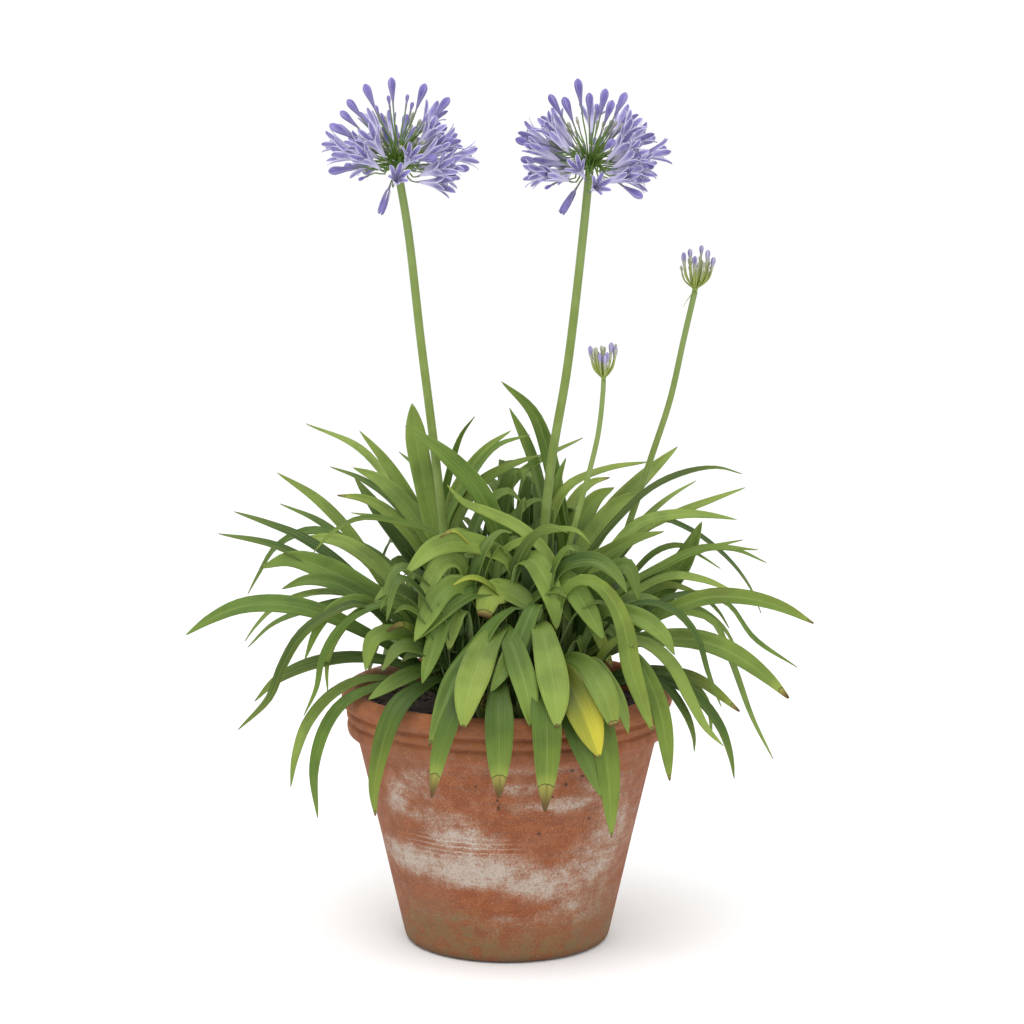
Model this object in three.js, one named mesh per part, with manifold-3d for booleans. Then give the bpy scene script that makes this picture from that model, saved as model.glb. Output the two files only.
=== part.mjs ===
// Agapanthus (African lily) growing in a thrown terracotta pot.
// Millimetres, +Z up. The origin is the centre of the pot's underside, and -Y is the plant's front.
import * as THREE from 'three';
import Module from 'manifold-3d';
import { mergeVertices } from 'three/addons/utils/BufferGeometryUtils.js';

const wasm = await Module();
wasm.setup();

// ---- Driving dimensions -------------------------------------------------------------------------

const POT = {
  height: 260, baseRadius: 104, footRound: 8, bodyTopRadius: 149, bodyTop: 203,
  beadRadius: 160, beadHeight: 219, grooveRadius: 157, grooveHeight: 237,
  lipRadius: 166, lipHeight: 251, mouthRadius: 152, wall: 11, floor: 13,
  facets: 32, drainRadius: 7, drainRing: 48, drainCount: 3,
};
const SOIL = { top: 236, mound: 5, gap: 0.4 };
const CROWN = { above: 14, below: 24, halfWidth: 14, gap: 0.6, stations: 6, root: 3, offset: 9 };
// Crown rows from front to back: depth layer and half length.
const CROWNS = [
  { layer: -98, half: 30 }, { layer: -63, half: 56 }, { layer: -21, half: 66 },
  { layer: 21, half: 66 }, { layer: 63, half: 56 }, { layer: 98, half: 30 },
];
const LAYER_SPREAD = 120;   // a depth layer doubles its distance from the middle at this x
const EYE = new THREE.Vector3(5, -2952, 902.4);   // standing viewer that the front elevation is drawn for
const BOARD = 3000;         // distance from the eye to the elevation's drawing plane
const TILT = THREE.MathUtils.degToRad(9);         // the drawing plane leans back to face the eye
// A blade has a ring for each step of length and each bend in degrees, and twists at most so many degrees a
// millimetre.
const BLADE = {
  thick: 1.7, dip: 0.09, rootWidth: 0.36, belly: 0.5, tipStarts: 0.9, step: 150, bend: 52, twist: 0.6,
};
const SCAPE = { sides: 6, sink: 30, gap: 0.4 };
const UMBEL = {
  hub: 5.5, hubSides: 8, lowestLeaving: 0.15, pedicel: 1.0, budSides: 5,
  floret: 37, mouth: 17, throat: 3.4, budRadius: 3.9,
};

// Leaves set out on the front elevation: fan number, blade width, turn of the face to the front (0 to 1),
// layer at the first point, layer at the tip, and the route from the crown outwards. A point is [across, up]
// in millimetres on the drawing plane, and a third number fixes its depth y where the leaf clears the pot.
const LEAVES = [
  [1, 19, 0.5, -100, -100, [[10, -95, -112], [-12, -105, -120], [-35, -135, -134], [-58, -168, -152],
    [-72, -203, -174], [-83, -234, -180]]],
  [1, 20, 0.3, -100, -100, [[-44, -166, -134], [-52, -184, -160], [-62, -211, -178], [-71, -238, -184],
    [-81, -286, -186]]],
  [1, 30, 0.3, -100, -100, [[-15, -122, -112], [-27, -136, -125], [-36, -158, -142], [-44, -183, -162],
    [-49, -215, -178]]],
  [1, 19, 0.5, -100, -100, [[20, -98, -112], [9, -125, -125], [-3, -148, -138], [-22, -181, -156]]],
  [1, 21, 0.2, -100, -100, [[-8, -118, -116], [0, -132, -132], [8, -156, -148], [15, -180, -162],
    [19, -215, -176]]],
  [1, 26, 0.2, -100, -100, [[30, -116, -120], [34, -138, -134], [38, -163, -152], [43, -188, -168],
    [45, -215, -178]]],
  [1, 27, 0.0, -100, -100, [[-12, -168, -130], [-13, -188, -160], [-13, -214, -178], [-13, -243, -184],
    [-13, -286, -186]]],
  [1, 28, 0.1, -100, -100, [[26, -158, -130], [31, -178, -154], [34, -204, -176], [35, -240, -184],
    [33, -300, -186]]],
  [1, 28, 0.3, -100, -100, [[50, -160, -134], [58, -172, -150], [66, -188, -164], [74, -206, -174],
    [88, -246, -180]]],
  [1, 20, 0.3, -100, -100, [[46, -160, -130], [54, -185, -160], [62, -214, -176], [71, -240, -182],
    [90, -286, -184]]],
  [1, 25, 0.3, -100, -100, [[70, -162, -147], [84, -190, -162], [91, -222, -174], [97, -270, -180],
    [100, -326, -182]]],
  [2, 20, 0.7, -70, -70, [[-67, -166, -100], [-92, -176, -122], [-112, -192, -142], [-126, -220, -150],
    [-138, -275, -154], [-137, -304, -154]]],
  [2, 18, 0.5, -62, -62, [[-52, -154], [-80, -155], [-110, -166], [-144, -187]]],
  [2, 16, 0.8, -56, -56, [[-90, -132], [-118, -120], [-138, -126], [-147, -159]]],
  [2, 18, 0.6, -60, -60, [[-2, -53], [-20, -38], [-50, -30], [-78, -36], [-108, -63]]],
  [2, 17, 0.6, -56, -56, [[-52, -50], [-68, -48], [-82, -68], [-94, -99]]],
  [2, 20, 0.6, -64, -68, [[-38, -84], [-54, -72], [-70, -80], [-84, -102], [-98, -130]]],
  [2, 15, 0.6, -72, -72, [[-10, -84], [-34, -80], [-58, -92], [-96, -128]]],
  [2, 15, 0.4, -60, -62, [[-56, -94], [-68, -106], [-78, -134], [-90, -172]]],
  [2, 18, 0.5, -58, -66, [[-50, -96], [-56, -100], [-61, -120], [-63, -139]]],
  [2, 22, 0.7, -74, -76, [[28, -106], [13, -91], [-6, -80], [-22, -84], [-28, -105]]],
  [2, 20, 0.2, -60, -70, [[8, -50], [20, -48], [34, -68], [42, -92], [45, -119]]],
  [2, 18, 0.7, -58, -60, [[42, -68], [56, -70], [72, -92], [92, -128]]],
  [2, 16, 0.4, -54, -52, [[58, -84], [78, -106], [92, -136], [101, -156]]],
  [2, 15, 0.8, -62, -62, [[44, -60], [62, -49], [84, -48], [104, -62], [116, -82]]],
  [2, 9, 0.6, -52, -52, [[-10, -42], [12, -28], [44, -17], [66, -19], [80, -34]]],
  [2, 21, 0.8, -66, -64, [[56, -74], [78, -68], [98, -84], [112, -114], [119, -155], [128, -183],
    [141, -220]]],
  [2, 18, 0.8, -56, -54, [[105, -134], [128, -152], [143, -182], [152, -216], [158, -269]]],
  [2, 18, 0.8, -54, -54, [[92, -98], [114, -101], [134, -109], [152, -124], [163, -143]]],
  [2, 21, 0.6, -74, -75, [[55, -147], [72, -152, -118], [88, -172, -136], [98, -192, -146],
    [102, -212, -150]]],
  [2, 13, 0.6, -70, -66, [[80, -148], [98, -170, -136], [110, -196, -144], [117, -222, -146]]],
  [3, 9, 0.4, -25, -25, [[-72, -25], [-112, -10], [-152, -6], [-180, -20], [-199, -40]]],
  [3, 8, 0.4, -15, -15, [[-92, -20], [-120, -7], [-161, 0]]],
  [3, 23, 0.6, -20, -16, [[-112, -140], [-150, -119], [-192, -100], [-232, -92], [-270, -94],
    [-302, -107], [-327, -123]]],
  [3, 12, 0.5, -32, -32, [[-150, -92], [-187, -104], [-212, -124], [-231, -157], [-243, -186],
    [-275, -218]]],
  [3, 16, 0.5, -26, -26, [[-84, -162], [-122, -149], [-162, -145], [-202, -152], [-236, -168],
    [-258, -189]]],
  [3, 11, 0.8, -29, -30, [[-150, -88], [-176, -94], [-194, -116], [-208, -149]]],
  [3, 9, 0.5, -34, -34, [[-112, -92], [-148, -98], [-174, -118], [-190, -146], [-196, -176],
    [-209, -204]]],
  [3, 9, 0.5, -27, -27, [[-120, -92], [-152, -99], [-175, -124], [-185, -152], [-185, -181]]],
  [3, 13, 0.5, -28, -32, [[-112, -168], [-150, -167], [-180, -182], [-204, -210], [-217, -245],
    [-222, -275]]],
  [3, 14, 0.5, -34, -36, [[-104, -170], [-140, -176], [-168, -190], [-186, -214], [-198, -256],
    [-195, -306]]],
  [3, 20, 0.9, -13, -14, [[-2, -60], [-14, -18], [-32, 20], [-56, 48], [-84, 71], [-107, 86]]],
  [3, 13, 0.7, -33, -33, [[44, -63], [30, -36], [8, -16], [-22, -1], [-48, 10], [-65, 28]]],
  [3, 8, 0.6, -36, -36, [[-30, -44], [-42, -24], [-54, -17], [-70, -24]]],
  [3, 16, 0.7, -22, -22, [[68, -56], [92, -43], [122, -27], [152, -19]]],
  [3, 21, 0.6, -12, -12, [[128, -114], [160, -97], [198, -85], [236, -86], [270, -95], [302, -111]]],
  [3, 25, 0.7, -28, -28, [[112, -132], [153, -126], [190, -129], [224, -143], [256, -166],
    [277, -186]]],
  [3, 15, 0.5, -22, -22, [[112, -160], [152, -160], [186, -168], [228, -199]]],
  [3, 12, 0.5, -30, -30, [[112, -166], [152, -168], [184, -184], [208, -214], [219, -244],
    [223, -267]]],
  [3, 10, 0.5, -35, -35, [[110, -170], [148, -170], [172, -198], [182, -224], [183, -240]]],
  [3, 14, 0.6, -36, -36, [[98, -130], [132, -130], [158, -150], [178, -186], [194, -215], [212, -234]]],
  [3, 9, 0.4, -18, -18, [[140, -158], [174, -168], [194, -188], [201, -226]]],
  [3, 9, 0.4, -35, -35, [[120, -92], [160, -97], [184, -122], [197, -162], [210, -195]]],
  [3, 8, 0.4, -7, -7, [[150, -88], [188, -84], [206, -98], [218, -116]]],
  [4, 15, 0.5, 22, 22, [[-108, -98], [-140, -78], [-178, -46], [-212, -24], [-246, -10], [-278, 1]]],
  [4, 14, 0.5, 13, 13, [[-108, -102], [-150, -78], [-196, -53], [-237, -33], [-294, -21]]],
  [4, 10, 0.5, 30, 30, [[-122, -52], [-160, -29], [-202, -18], [-236, -34], [-254, -62], [-265, -82]]],
  [4, 17, 0.7, 26, 26, [[-112, -76], [-140, -48], [-174, -28], [-215, -26]]],
  [4, 25, 0.8, 10, 12, [[-104, -104], [-144, -80], [-186, -57], [-222, -47], [-252, -56]]],
  [4, 17, 0.8, 8, 8, [[-108, -108], [-144, -87], [-182, -69], [-206, -68], [-231, -77]]],
  [4, 10, 0.4, 18, 18, [[-110, -98], [-150, -84], [-196, -80], [-236, -94], [-257, -114],
    [-268, -129]]],
  [4, 10, 0.4, 9, 9, [[-110, -92], [-156, -87], [-206, -98], [-240, -112], [-265, -135]]],
  [4, 22, 0.9, 16, 18, [[-70, -62], [-79, -18], [-88, 30], [-96, 74], [-100, 109]]],
  [4, 12, 0.4, 33, 33, [[78, -40], [108, -4], [140, 25], [176, 41], [206, 45], [230, 39]]],
  [4, 14, 0.5, 22, 22, [[94, -54], [128, -20], [168, 0], [204, 14], [233, 25]]],
  [4, 15, 0.6, 14, 14, [[94, -46], [126, -12], [166, -2], [198, -3], [225, -7]]],
  [4, 26, 0.8, 27, 28, [[112, -120], [143, -85], [170, -51], [190, -9]]],
  [4, 12, 0.4, 11, 11, [[112, -76], [150, -54], [192, -36], [246, -37]]],
  [4, 8, 0.4, 20, 20, [[150, -56], [188, -38], [222, -37], [255, -50]]],
  [4, 8, 0.4, 30, 30, [[140, -42], [168, -33], [188, -43], [209, -56]]],
  [4, 9, 0.4, 34, 34, [[112, -40], [144, -7], [176, -16], [214, -44], [238, -74], [250, -101]]],
  [4, 12, 0.5, 8, 8, [[112, -86], [154, -64], [190, -67], [226, -81]]],
  [4, 10, 0.5, 16, 16, [[118, -90], [154, -73], [176, -77], [193, -85]]],
  [4, 9, 0.4, 14, 14, [[150, -88], [190, -82], [216, -92], [242, -126], [286, -155]]],
  [4, 11, 0.4, 8, 8, [[118, -104], [163, -99], [200, -108], [220, -150], [240, -204], [262, -247]]],
  [4, 9, 0.4, 24, 24, [[128, -92], [178, -94], [208, -112], [223, -136], [225, -162]]],
  [5, 18, 0.9, 62, 62, [[-72, -48], [-96, 2], [-126, 50], [-153, 82]]],
  [5, 19, 0.9, 54, 54, [[-72, -44], [-100, 0], [-132, 32], [-160, 45]]],
  [5, 18, 0.8, 66, 66, [[-87, -66], [-112, -26], [-138, 8], [-158, 36]]],
  [5, 13, 0.8, 51, 51, [[-92, -36], [-120, -3], [-146, 13], [-175, 17]]],
  [5, 20, 0.6, 52, 56, [[-96, -124], [-128, -73], [-160, -24], [-194, 12], [-235, 40]]],
  [5, 13, 0.4, 72, 72, [[-112, -88], [-147, -49], [-190, -11], [-232, 9]]],
  [5, 9, 0.5, 66, 66, [[-70, -10], [-62, 42], [-51, 76], [-37, 95]]],
  [5, 13, 0.7, 58, 60, [[-62, 0], [-46, 38], [-26, 64], [-1, 82]]],
  [5, 12, 0.4, 52, 52, [[-67, -23], [-44, 30], [-16, 66], [18, 78]]],
  [5, 15, 0.5, 49, 49, [[-60, -32], [-36, 24], [-4, 46], [29, 58]]],
  [5, 18, 0.9, 70, 70, [[42, -60], [34, -4], [18, 60], [-2, 104]]],
  [5, 16, 0.9, 60, 60, [[54, -50], [44, 24], [22, 98], [-11, 131]]],
  [5, 10, 0.4, 74, 74, [[-20, -12], [2, 32], [30, 54], [71, 75]]],
  [5, 12, 0.4, 50, 50, [[34, -24], [54, 24], [92, 43], [137, 51]]],
  [5, 14, 0.8, 56, 56, [[52, -36], [46, 0], [46, 32], [54, 55]]],
  [5, 18, 0.8, 60, 60, [[74, -44], [96, -3], [128, 31], [166, 66]]],
  [5, 23, 0.9, 56, 56, [[64, -54], [84, -20], [104, 6], [129, 21]]],
  [5, 8, 0.4, 72, 72, [[104, -44], [133, -6], [158, 16], [184, 32]]],
  [5, 9, 0.4, 50, 52, [[112, -88], [152, -56], [192, -37], [231, -27]]],
  [6, 14, 0.4, 98, 98, [[-80, -40], [-110, 12], [-150, 62], [-206, 89]]],
  [6, 10, 0.4, 108, 108, [[-88, -34], [-118, 10], [-150, 33], [-182, 46]]],
  [6, 10, 0.4, 94, 94, [[-66, -10], [-84, 34], [-113, 61]]],
  [6, 13, 0.7, 108, 108, [[48, -20], [62, 12], [78, 29], [98, 35]]],
  [6, 23, 0.9, 97, 97, [[54, -56], [66, -16], [84, 14], [103, 25]]],
];
// Leaves that the front hides, drawn by rule: how far they reach sideways and back, and the heights of
// their arch and tip above the soil. A back reach is a depth y, or null where the leaf keeps to its layer.
const HIDDEN_LEAVES = [
  { fan: 6, count: 11, side: 0.9, back: [195, 285], apex: [95, 230], tip: [-90, 120], width: [17, 24] },
  { fan: 5, count: 4, side: 200, back: null, apex: [70, 150], tip: [-20, 60], width: [16, 22] },
  { fan: 4, count: 2, side: 120, back: null, apex: [120, 170], tip: [120, 170], width: [15, 20] },
  { fan: 3, count: 2, side: 120, back: null, apex: [90, 140], tip: [90, 140], width: [15, 20] },
];
const HIDDEN_SEED = 7;
const RIM_PASS = { inside: 128, outside: 186, above: 30 };   // leaves cross this ring well above the lip

// Scapes: layer, radius at the soil and at the umbel, and the elevation points from low to high.
const SCAPES = {
  scape_left: {
    layer: 0, radius: [4.8, 4.0],
    route: [[-56, -150], [-66, -40], [-78, 67], [-91, 170], [-104, 282], [-114.5, 344]],
  },
  scape_right: {
    layer: 0, radius: [5.0, 4.1],
    route: [[20, -150], [30, -40], [40, 54], [55, 142], [70.5, 272], [77.5, 341]],
  },
  scape_bud_tall: {
    layer: 42, radius: [3.8, 3.0],
    route: [[76, -110], [100, -60], [121, 0], [141, 60], [158, 112], [172, 174], [183, 221]],
  },
  scape_bud_short: {
    layer: -42, radius: [3.2, 2.4],
    route: [[34, -150], [42, -100], [52, -52], [68, 6], [86, 77], [91, 120], [91.6, 132]],
  },
};

// Florets and buds of each umbel: kind, and its far end from the hub as [across, up, back].
// Kinds: open floret, closed large bud, young bud, and hanging spent floret.
const UMBELS = {
  umbel_left: {
    scape: 'scape_left', backOpen: 5, backBuds: 4, backLift: [-0.15, 0.75], seed: 11,
    heads: [
      ['bud', -6, 85, 6], ['bud', -32, 77, 10], ['bud', -49, 64, -14], ['bud', 28, 78, -8],
      ['bud', 51, 64, 12], ['bud', -58, 52, 12], ['bud', -66, 38, -4], ['young', -8, 66, -14],
      ['young', 10, 67, 14], ['young', 16, 60, -22], ['young', 30, 47, -36],
      ['young', -20, 57, -26], ['open', -70, 14, -12], ['open', -30, 36, -46],
      ['open', 44, 46, -28], ['open', 66, 28, 4], ['open', 66, 4, -22], ['open', 22, 20, -62],
      ['open', 6, -4, -70], ['open', 58, -20, -34], ['bud', -68, -8, 6], ['young', -50, 0, -26],
      ['young', -36, -14, -40], ['spent', -16, -47, -14],
    ],
  },
  umbel_right: {
    scape: 'scape_right', backOpen: 5, backBuds: 4, backLift: [-0.15, 0.75], seed: 23,
    heads: [
      ['bud', -12, 85, 4], ['bud', -1, 74, -20], ['bud', 16, 75, 14], ['young', 6, 62, -28],
      ['bud', 22, 66, -22], ['bud', 36, 72, 6], ['bud', -40, 71, 4], ['bud', -26, 68, -20],
      ['open', -52, 50, -20], ['open', -70, -6, -14], ['open', -20, 10, -66], ['open', 50, 52, -22],
      ['open', 66, 38, 10], ['open', 14, -12, -68], ['open', 64, -14, -22], ['bud', -74, 27, 8],
      ['bud', 76, 18, 6], ['bud', 22, 28, -58], ['bud', 50, -28, -44], ['young', -46, 20, -36],
      ['young', -44, -20, -30], ['spent', -27, -44, -12],
    ],
  },
  bud_umbel_tall: {
    scape: 'scape_bud_tall', backOpen: 0, backBuds: 2, backLift: [0.7, 0.85], seed: 5,
    heads: [
      ['young', -12, 34, -4], ['young', -6, 38, -9], ['young', 6, 42, -4], ['young', 18, 29, -6],
      ['young', 12, 36, -10], ['young', -1, 30, -12],
    ],
  },
  bud_umbel_short: {
    scape: 'scape_bud_short', backOpen: 0, backBuds: 2, backLift: [0.7, 0.85], seed: 9,
    heads: [
      ['young', -15, 29, -4], ['young', -9, 32, -8], ['young', 0, 33, -8], ['young', 8, 33, -6],
      ['young', 14, 26, -4], ['young', 3, 27, -12],
    ],
  },
};
const FAR_END = { open: UMBEL.floret, bud: 25, young: 11, spent: 27 };
const BUD_RADIUS = { bud: UMBEL.budRadius, young: 2.6, spent: 3.2 };

const COLOURS = {
  pot: ['#a85b3c', 0.85], soil: ['#2c2119', 0.95], leaf: ['#6f9447', 0.5],
  scape: ['#7f9a4c', 0.5], umbel: ['#8f86cf', 0.6], bud: ['#7d8f52', 0.6],
};

// ---- Small tools --------------------------------------------------------------------------------

// A repeatable random draw from 0 to 1, from a 32-bit linear rule.
function makeDraw(seed) {
  let state = seed >>> 0;
  return (low = 0, high = 1) => {
    state = (Math.imul(state, 1664525) + 1013904223) >>> 0;
    return low + (high - low) * (state / 4294967296);
  };
}

// Closes a stack of rings into one solid: every ring has the same count, but an end may be a single point.
function loft(rings) {
  const positions = [];
  const starts = [];
  for (const ring of rings) {
    starts.push(positions.length / 3);
    for (const point of ring) positions.push(point.x, point.y, point.z);
  }
  const index = [];
  const sides = Math.max(...rings.map((ring) => ring.length));
  for (let level = 0; level < rings.length - 1; level += 1) {
    const low = starts[level];
    const high = starts[level + 1];
    for (let side = 0; side < sides; side += 1) {
      const next = (side + 1) % sides;
      if (rings[level].length === 1) index.push(low, high + next, high + side);
      else if (rings[level + 1].length === 1) index.push(low + side, low + next, high);
      else index.push(low + side, low + next, high + next, low + side, high + next, high + side);
    }
  }
  const capFan = (start, flip) => {
    for (let side = 1; side < sides - 1; side += 1) {
      if (flip) index.push(start, start + side + 1, start + side);
      else index.push(start, start + side, start + side + 1);
    }
  };
  if (rings[0].length > 1) capFan(starts[0], true);
  if (rings.at(-1).length > 1) capFan(starts.at(-1), false);
  return closedSolid(positions, index);
}

// Makes a manifold-3d solid, turning the faces out if they were listed inside out.
function closedSolid(positions, index) {
  let sum = 0;
  const corner = (i) => new THREE.Vector3().fromArray(positions, 3 * i);
  for (let face = 0; face < index.length; face += 3) {
    sum += corner(index[face]).dot(corner(index[face + 1]).cross(corner(index[face + 2])));
  }
  const faces = sum < 0 ? index.slice().reverse() : index;
  const mesh = new wasm.Mesh({
    numProp: 3, vertProperties: new Float32Array(positions), triVerts: new Uint32Array(faces),
  });
  return new wasm.Manifold(mesh);
}

function solidFromGeometry(geometry) {
  const bare = geometry.clone();
  bare.deleteAttribute('normal');
  bare.deleteAttribute('uv');
  const merged = mergeVertices(bare, 1e-4);
  return closedSolid(Array.from(merged.attributes.position.array), Array.from(merged.index.array));
}

function geometryFromSolid(solid) {
  const { vertProperties, triVerts } = solid.getMesh();
  const geometry = new THREE.BufferGeometry();
  geometry.setAttribute('position', new THREE.BufferAttribute(new Float32Array(vertProperties), 3));
  geometry.setIndex(new THREE.BufferAttribute(new Uint32Array(triVerts), 1));
  geometry.computeVertexNormals();
  return geometry;
}

function joinAll(solids) {
  return solids.reduce((whole, solid) => whole.add(solid));
}

// Keeps the outer skin of the one body that holds together, so that loose scraps go and sealed hollows fill.
function mainBody(solid) {
  const { vertProperties, triVerts } = solid.getMesh();
  const shell = Array.from({ length: vertProperties.length / 3 }, (_, i) => i);
  const rootOf = (i) => {
    let root = i;
    while (shell[root] !== root) root = shell[root];
    shell[i] = root;
    return root;
  };
  for (let i = 0; i < triVerts.length; i += 3) {
    shell[rootOf(triVerts[i])] = rootOf(triVerts[i + 1]);
    shell[rootOf(triVerts[i + 1])] = rootOf(triVerts[i + 2]);
  }
  const skins = new Map();
  for (let i = 0; i < triVerts.length; i += 3) {
    const root = rootOf(triVerts[i]);
    if (!skins.has(root)) skins.set(root, []);
    skins.get(root).push(triVerts[i], triVerts[i + 1], triVerts[i + 2]);
  }
  const longest = [...skins.values()].reduce((best, faces) => (faces.length > best.length ? faces : best));
  const used = [...new Set(longest)];
  const place = new Map(used.map((vertex, i) => [vertex, i]));
  const positions = used.flatMap((vertex) => Array.from(vertProperties.slice(3 * vertex, 3 * vertex + 3)));
  return closedSolid(positions, longest.map((vertex) => place.get(vertex)));
}

function curveThrough(points) {
  return new THREE.CatmullRomCurve3(points, false, 'centripetal');
}

function ringAround(centre, tangent, side, radius, count, phase = 0) {
  const up = new THREE.Vector3().crossVectors(tangent, side).normalize();
  const across = new THREE.Vector3().crossVectors(up, tangent).normalize();
  return Array.from({ length: count }, (_, i) => {
    const angle = phase + (2 * Math.PI * i) / count;
    return centre.clone()
      .addScaledVector(across, radius * Math.cos(angle))
      .addScaledVector(up, radius * Math.sin(angle));
  });
}

// ---- Setting out --------------------------------------------------------------------------------

function layerDepth(layer, x) {
  return layer * (1 + Math.abs(x) / LAYER_SPREAD);
}

function layerOf({ x, y }) {
  return y / (1 + Math.abs(x) / LAYER_SPREAD);
}

// The point of the sight line through (across, up) on the drawing plane that lies at depth y.
function onSightLine(across, up, y) {
  const direction = new THREE.Vector3(
    across,
    BOARD * Math.cos(TILT) + up * Math.sin(TILT),
    up * Math.cos(TILT) - BOARD * Math.sin(TILT),
  );
  return EYE.clone().addScaledVector(direction, (y - EYE.y) / direction.y);
}

// The same, in a depth layer: the depth follows the point's own distance from the middle.
function inLayer(across, up, layer) {
  const near = onSightLine(across, up, layerDepth(layer, across + EYE.x));
  return onSightLine(across, up, layerDepth(layer, near.x));
}

// ---- Pot and soil -------------------------------------------------------------------------------

function latheSolid(points) {
  const outline = points.map(([r, z]) => new THREE.Vector2(r, z));
  const lathe = new THREE.LatheGeometry(outline, POT.facets);
  lathe.rotateX(Math.PI / 2);
  return solidFromGeometry(lathe);
}

function upright(radius, low, high, x, y) {
  const rod = new THREE.CylinderGeometry(radius, radius, high - low, 12);
  rod.rotateX(Math.PI / 2);
  rod.translate(x, y, (low + high) / 2);
  return solidFromGeometry(rod);
}

function makePot() {
  const profile = [
    [0, 0], [POT.baseRadius - POT.footRound, 0], [POT.baseRadius - 1.5, 3], [POT.baseRadius, POT.footRound],
    [POT.bodyTopRadius, POT.bodyTop],
    [POT.beadRadius - 3, POT.beadHeight - 12], [POT.beadRadius, POT.beadHeight - 4],
    [POT.beadRadius, POT.beadHeight + 3],
    [POT.grooveRadius, POT.grooveHeight - 6], [POT.grooveRadius, POT.grooveHeight],
    [POT.lipRadius, POT.lipHeight - 6], [POT.lipRadius, POT.lipHeight + 2],
    [POT.lipRadius - 3, POT.height - 3], [POT.lipRadius - 8, POT.height],
    [POT.mouthRadius, POT.height], [POT.mouthRadius - 3, POT.height - 4],
    [POT.mouthRadius - 7, POT.height - 20], [POT.bodyTopRadius - POT.wall, POT.bodyTop],
    [POT.baseRadius - POT.wall + 1, POT.floor], [0, POT.floor],
  ];
  let pot = latheSolid(profile);
  for (let i = 0; i < POT.drainCount; i += 1) {
    const angle = (2 * Math.PI * i) / POT.drainCount + Math.PI / 6;
    const x = POT.drainRing * Math.cos(angle);
    const y = POT.drainRing * Math.sin(angle);
    pot = pot.subtract(upright(POT.drainRadius, -1, POT.floor + 1, x, y));
  }
  return pot;
}

function makeSoil() {
  const edge = POT.mouthRadius - 7 - SOIL.gap - 1;
  const profile = [
    [0, POT.floor + SOIL.gap], [POT.baseRadius - POT.wall + 0.4, POT.floor + SOIL.gap],
    [POT.bodyTopRadius - POT.wall - SOIL.gap, POT.bodyTop], [edge, SOIL.top],
    [edge * 0.45, SOIL.top + SOIL.mound], [0, SOIL.top + SOIL.mound],
  ];
  return latheSolid(profile);
}

// ---- Leaves -------------------------------------------------------------------------------------

// A crown is a low rhizome row, bowed like its layer and rounded off at both ends.
function makeCrown({ layer, half }, grow = 0) {
  const bottom = SOIL.top - CROWN.below - grow;
  const top = SOIL.top + SOIL.mound + (grow > 0 ? 40 : CROWN.above);
  const rings = [];
  for (let i = 0; i <= CROWN.stations; i += 1) {
    const share = (2 * i) / CROWN.stations - 1;
    const x = share * (half + grow);
    const narrow = 0.55 + 0.45 * Math.sqrt(1 - share * share);
    const width = CROWN.halfWidth * narrow + grow;
    const y = layerDepth(layer, x);
    const crest = top - (grow > 0 ? 0 : 7 * share * share);
    rings.push([[-1, bottom], [1, bottom], [1, top - 9], [0.45, crest], [-0.45, crest], [-1, top - 9]]
      .map(([across, z]) => new THREE.Vector3(x, y + across * width, z)));
  }
  return loft(rings);
}

function leafRoute([, , , firstLayer, tipLayer, route]) {
  return route.map(([across, up, depth], i) => {
    if (depth !== undefined) return onSightLine(across, up, depth);
    return inLayer(across, up, THREE.MathUtils.lerp(firstLayer, tipLayer, i / (route.length - 1)));
  });
}

// Adds the stretch from inside the crown up to the first free point of a leaf.
function rootedRoute(points, crown, rootX) {
  const first = points[0];
  const rootZ = SOIL.top + SOIL.mound + CROWN.root;
  const offset = THREE.MathUtils.clamp(layerOf(first) - crown.layer, -CROWN.offset, CROWN.offset);
  const root = new THREE.Vector3(rootX, layerDepth(crown.layer + offset, rootX), rootZ);
  const rise = THREE.MathUtils.clamp(0.4 * (first.z - root.z), 8, 70);
  const neckX = THREE.MathUtils.lerp(rootX, first.x, 0.35);
  const neckLayer = THREE.MathUtils.lerp(crown.layer, layerOf(first), 0.3);
  const neck = new THREE.Vector3(neckX, layerDepth(neckLayer, neckX), root.z + rise);
  return [root, neck, ...points];
}

function bladeShape(share, width) {
  const { rootWidth, belly } = BLADE;
  if (share < belly) {
    return width * THREE.MathUtils.lerp(rootWidth, 1, Math.sin((share / belly) * Math.PI / 2));
  }
  return width * Math.sqrt(Math.max(0, 1 - ((share - belly) / (1 - belly)) ** 2.1));
}

// Where a blade's rings stand, as shares of its length: evenly by length and bending together.
function ringShares(curve) {
  const samples = 60;
  const shareAt = (i) => (BLADE.tipStarts * i) / samples;
  const effort = [0];
  for (let i = 1; i <= samples; i += 1) {
    const bend = curve.getTangentAt(shareAt(i)).angleTo(curve.getTangentAt(shareAt(i - 1)));
    const length = (BLADE.tipStarts * curve.getLength()) / samples;
    effort.push(effort.at(-1) + length / BLADE.step + THREE.MathUtils.radToDeg(bend) / BLADE.bend);
  }
  const spans = THREE.MathUtils.clamp(Math.round(effort.at(-1)), 3, 7);
  return Array.from({ length: spans + 1 }, (_, k) => {
    const reached = effort.findIndex((value) => value >= (effort.at(-1) * k) / spans - 1e-9);
    return shareAt(reached);
  });
}

// The direction from a blade's left edge to its right at a point of its curve: level across the blade's
// heading, and turned towards the eye by its share.
function wantedAcross(centre, tangent, level, turn) {
  const toEye = EYE.clone().sub(centre).normalize();
  const facing = tangent.clone().cross(toEye);
  const turned = turn * THREE.MathUtils.clamp(1.5 + 2 * facing.dot(level), 0, 1);
  const across = level.clone().multiplyScalar(1 - turned).addScaledVector(facing, turned);
  return across.addScaledVector(tangent, -across.dot(tangent)).normalize();
}

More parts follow.
